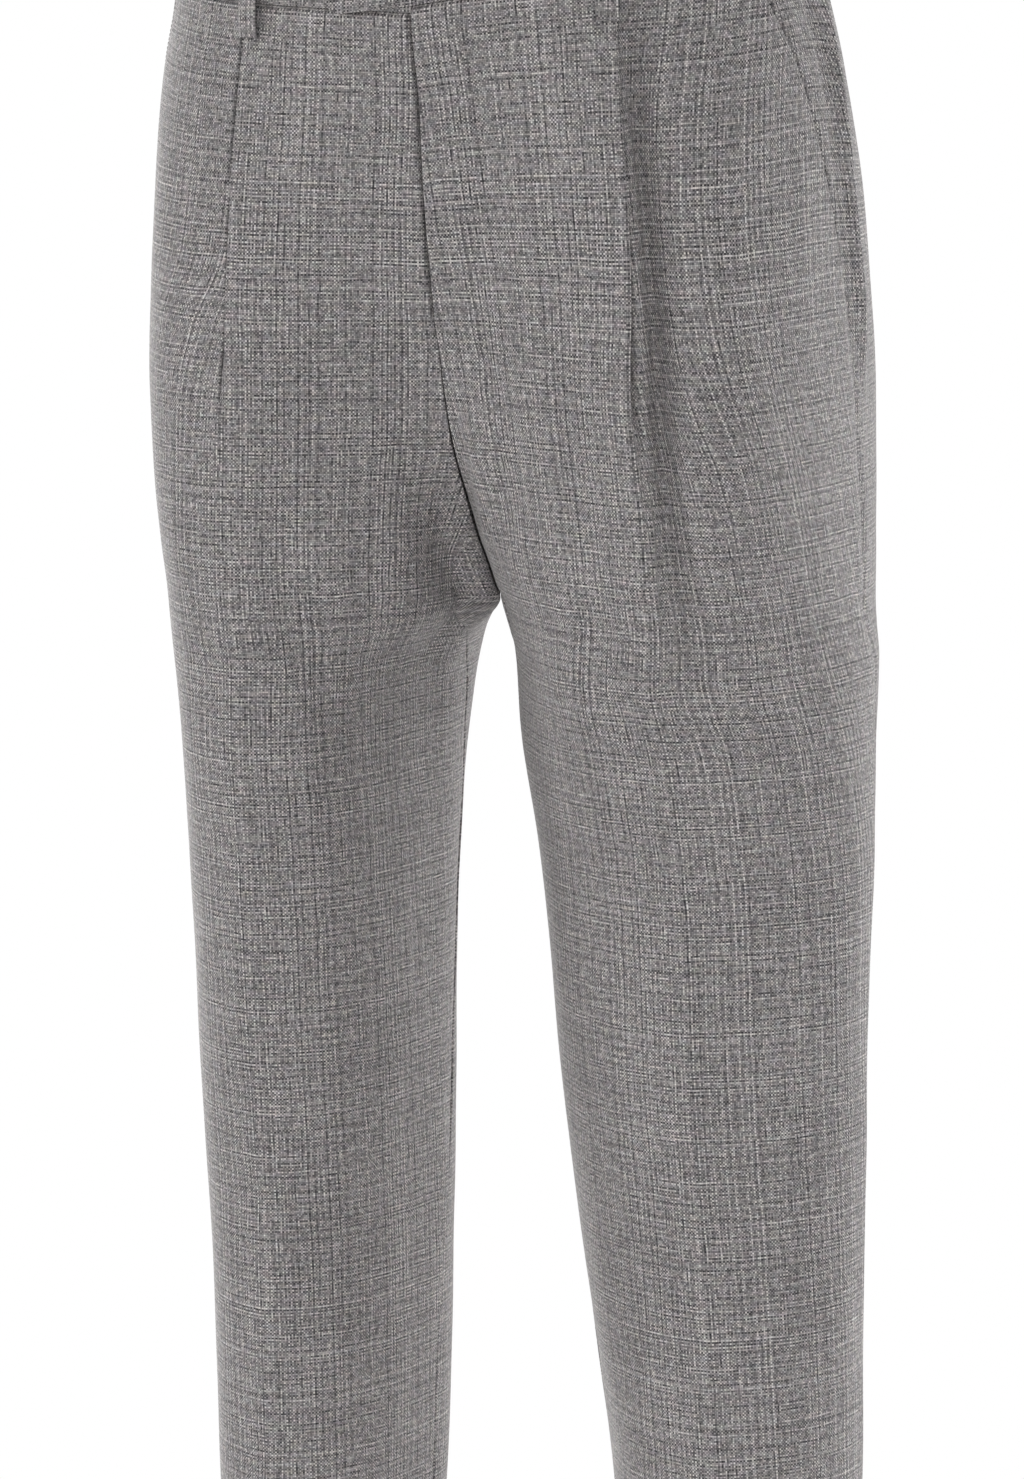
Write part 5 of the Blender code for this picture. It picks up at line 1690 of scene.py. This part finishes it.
def axis_at_tab():
    """Centre on the tab's face, and the ways out, across and up there."""
    s = BUTTON_IN - TAB_LENGTH
    normal = section_at(1, -BUTTON_UP).at([s])[1][0]
    centre = band_point(1, s, BUTTON_UP, BAND_CLOTH / 2 + GAP)
    out, across = np.array([*normal, 0.0]), np.array([-normal[1], normal[0], 0.0])
    return centre, out, across, np.array([0.0, 0.0, 1.0])


def turned(profile, sides, centre, out, across, up, low, high):
    """Points and faces of a turned body with closed ends at heights low and high."""
    angles = 2 * math.pi * np.arange(sides) / sides
    points = [centre + out * low]
    for radius, height in profile:
        middle = centre + out * height
        points += [middle + (across * math.cos(a) + up * math.sin(a)) * radius for a in angles]
    points.append(centre + out * high)
    faces, last = [], len(points) - 1
    for k in range(sides):
        n = (k + 1) % sides
        faces.append((0, 1 + n, 1 + k))
        for ring in range(len(profile) - 1):
            a, b = 1 + ring * sides, 1 + (ring + 1) * sides
            faces.append((a + k, a + n, b + n, b + k))
        a = 1 + (len(profile) - 1) * sides
        faces.append((a + k, a + n, last))
    return points, faces


def build_button():
    centre, out, across, up = axis_at_tab()
    disc = turned(BUTTON_PROFILE, BUTTON_SIDES, centre, out, across, up, 0.0, DISH)
    piece = mesh_piece("button", *disc, HORN)
    points, faces = [], []
    for a, b in HOLES:
        middle = centre + (across * a + up * b) * DRILL_OUT / math.sqrt(2.0)
        more, rings = turned(((DRILL, -1.0), (DRILL, 4.0)), 20, middle, out, across, up, -1.0, 4.0)
        faces += [tuple(k + len(points) for k in face) for face in rings]
        points += more
    drill = mesh_piece("drill", points, faces, HORN)
    cut = piece.modifiers.new("holes", "BOOLEAN")
    cut.object, cut.operation, cut.solver = drill, "DIFFERENCE", "EXACT"
    bake(piece)
    bpy.data.objects.remove(drill)
    piece.data.set_sharp_from_angle(angle=math.radians(35.0))
    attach(piece, "root")
    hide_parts("tab_button")
    strands = []
    for a, b in HOLES[:2]:
        way, over = (across * a + up * b) * DRILL_OUT / math.sqrt(2.0), across * b - up * a
        for aside in (-0.22, 0.22):
            strands.append([centre + way * reach + out * (high + 0.15 * a) + over * aside
                            for reach, high in STRAND])
    thread_piece("button_thread", strands, THREADS, {"Thickness": STRAND_THICK * MM, "Thread": THREAD})
    print("button:", len(piece.data.polygons), "faces, four holes")


build_button()

# %% [markdown]
# ## Finish
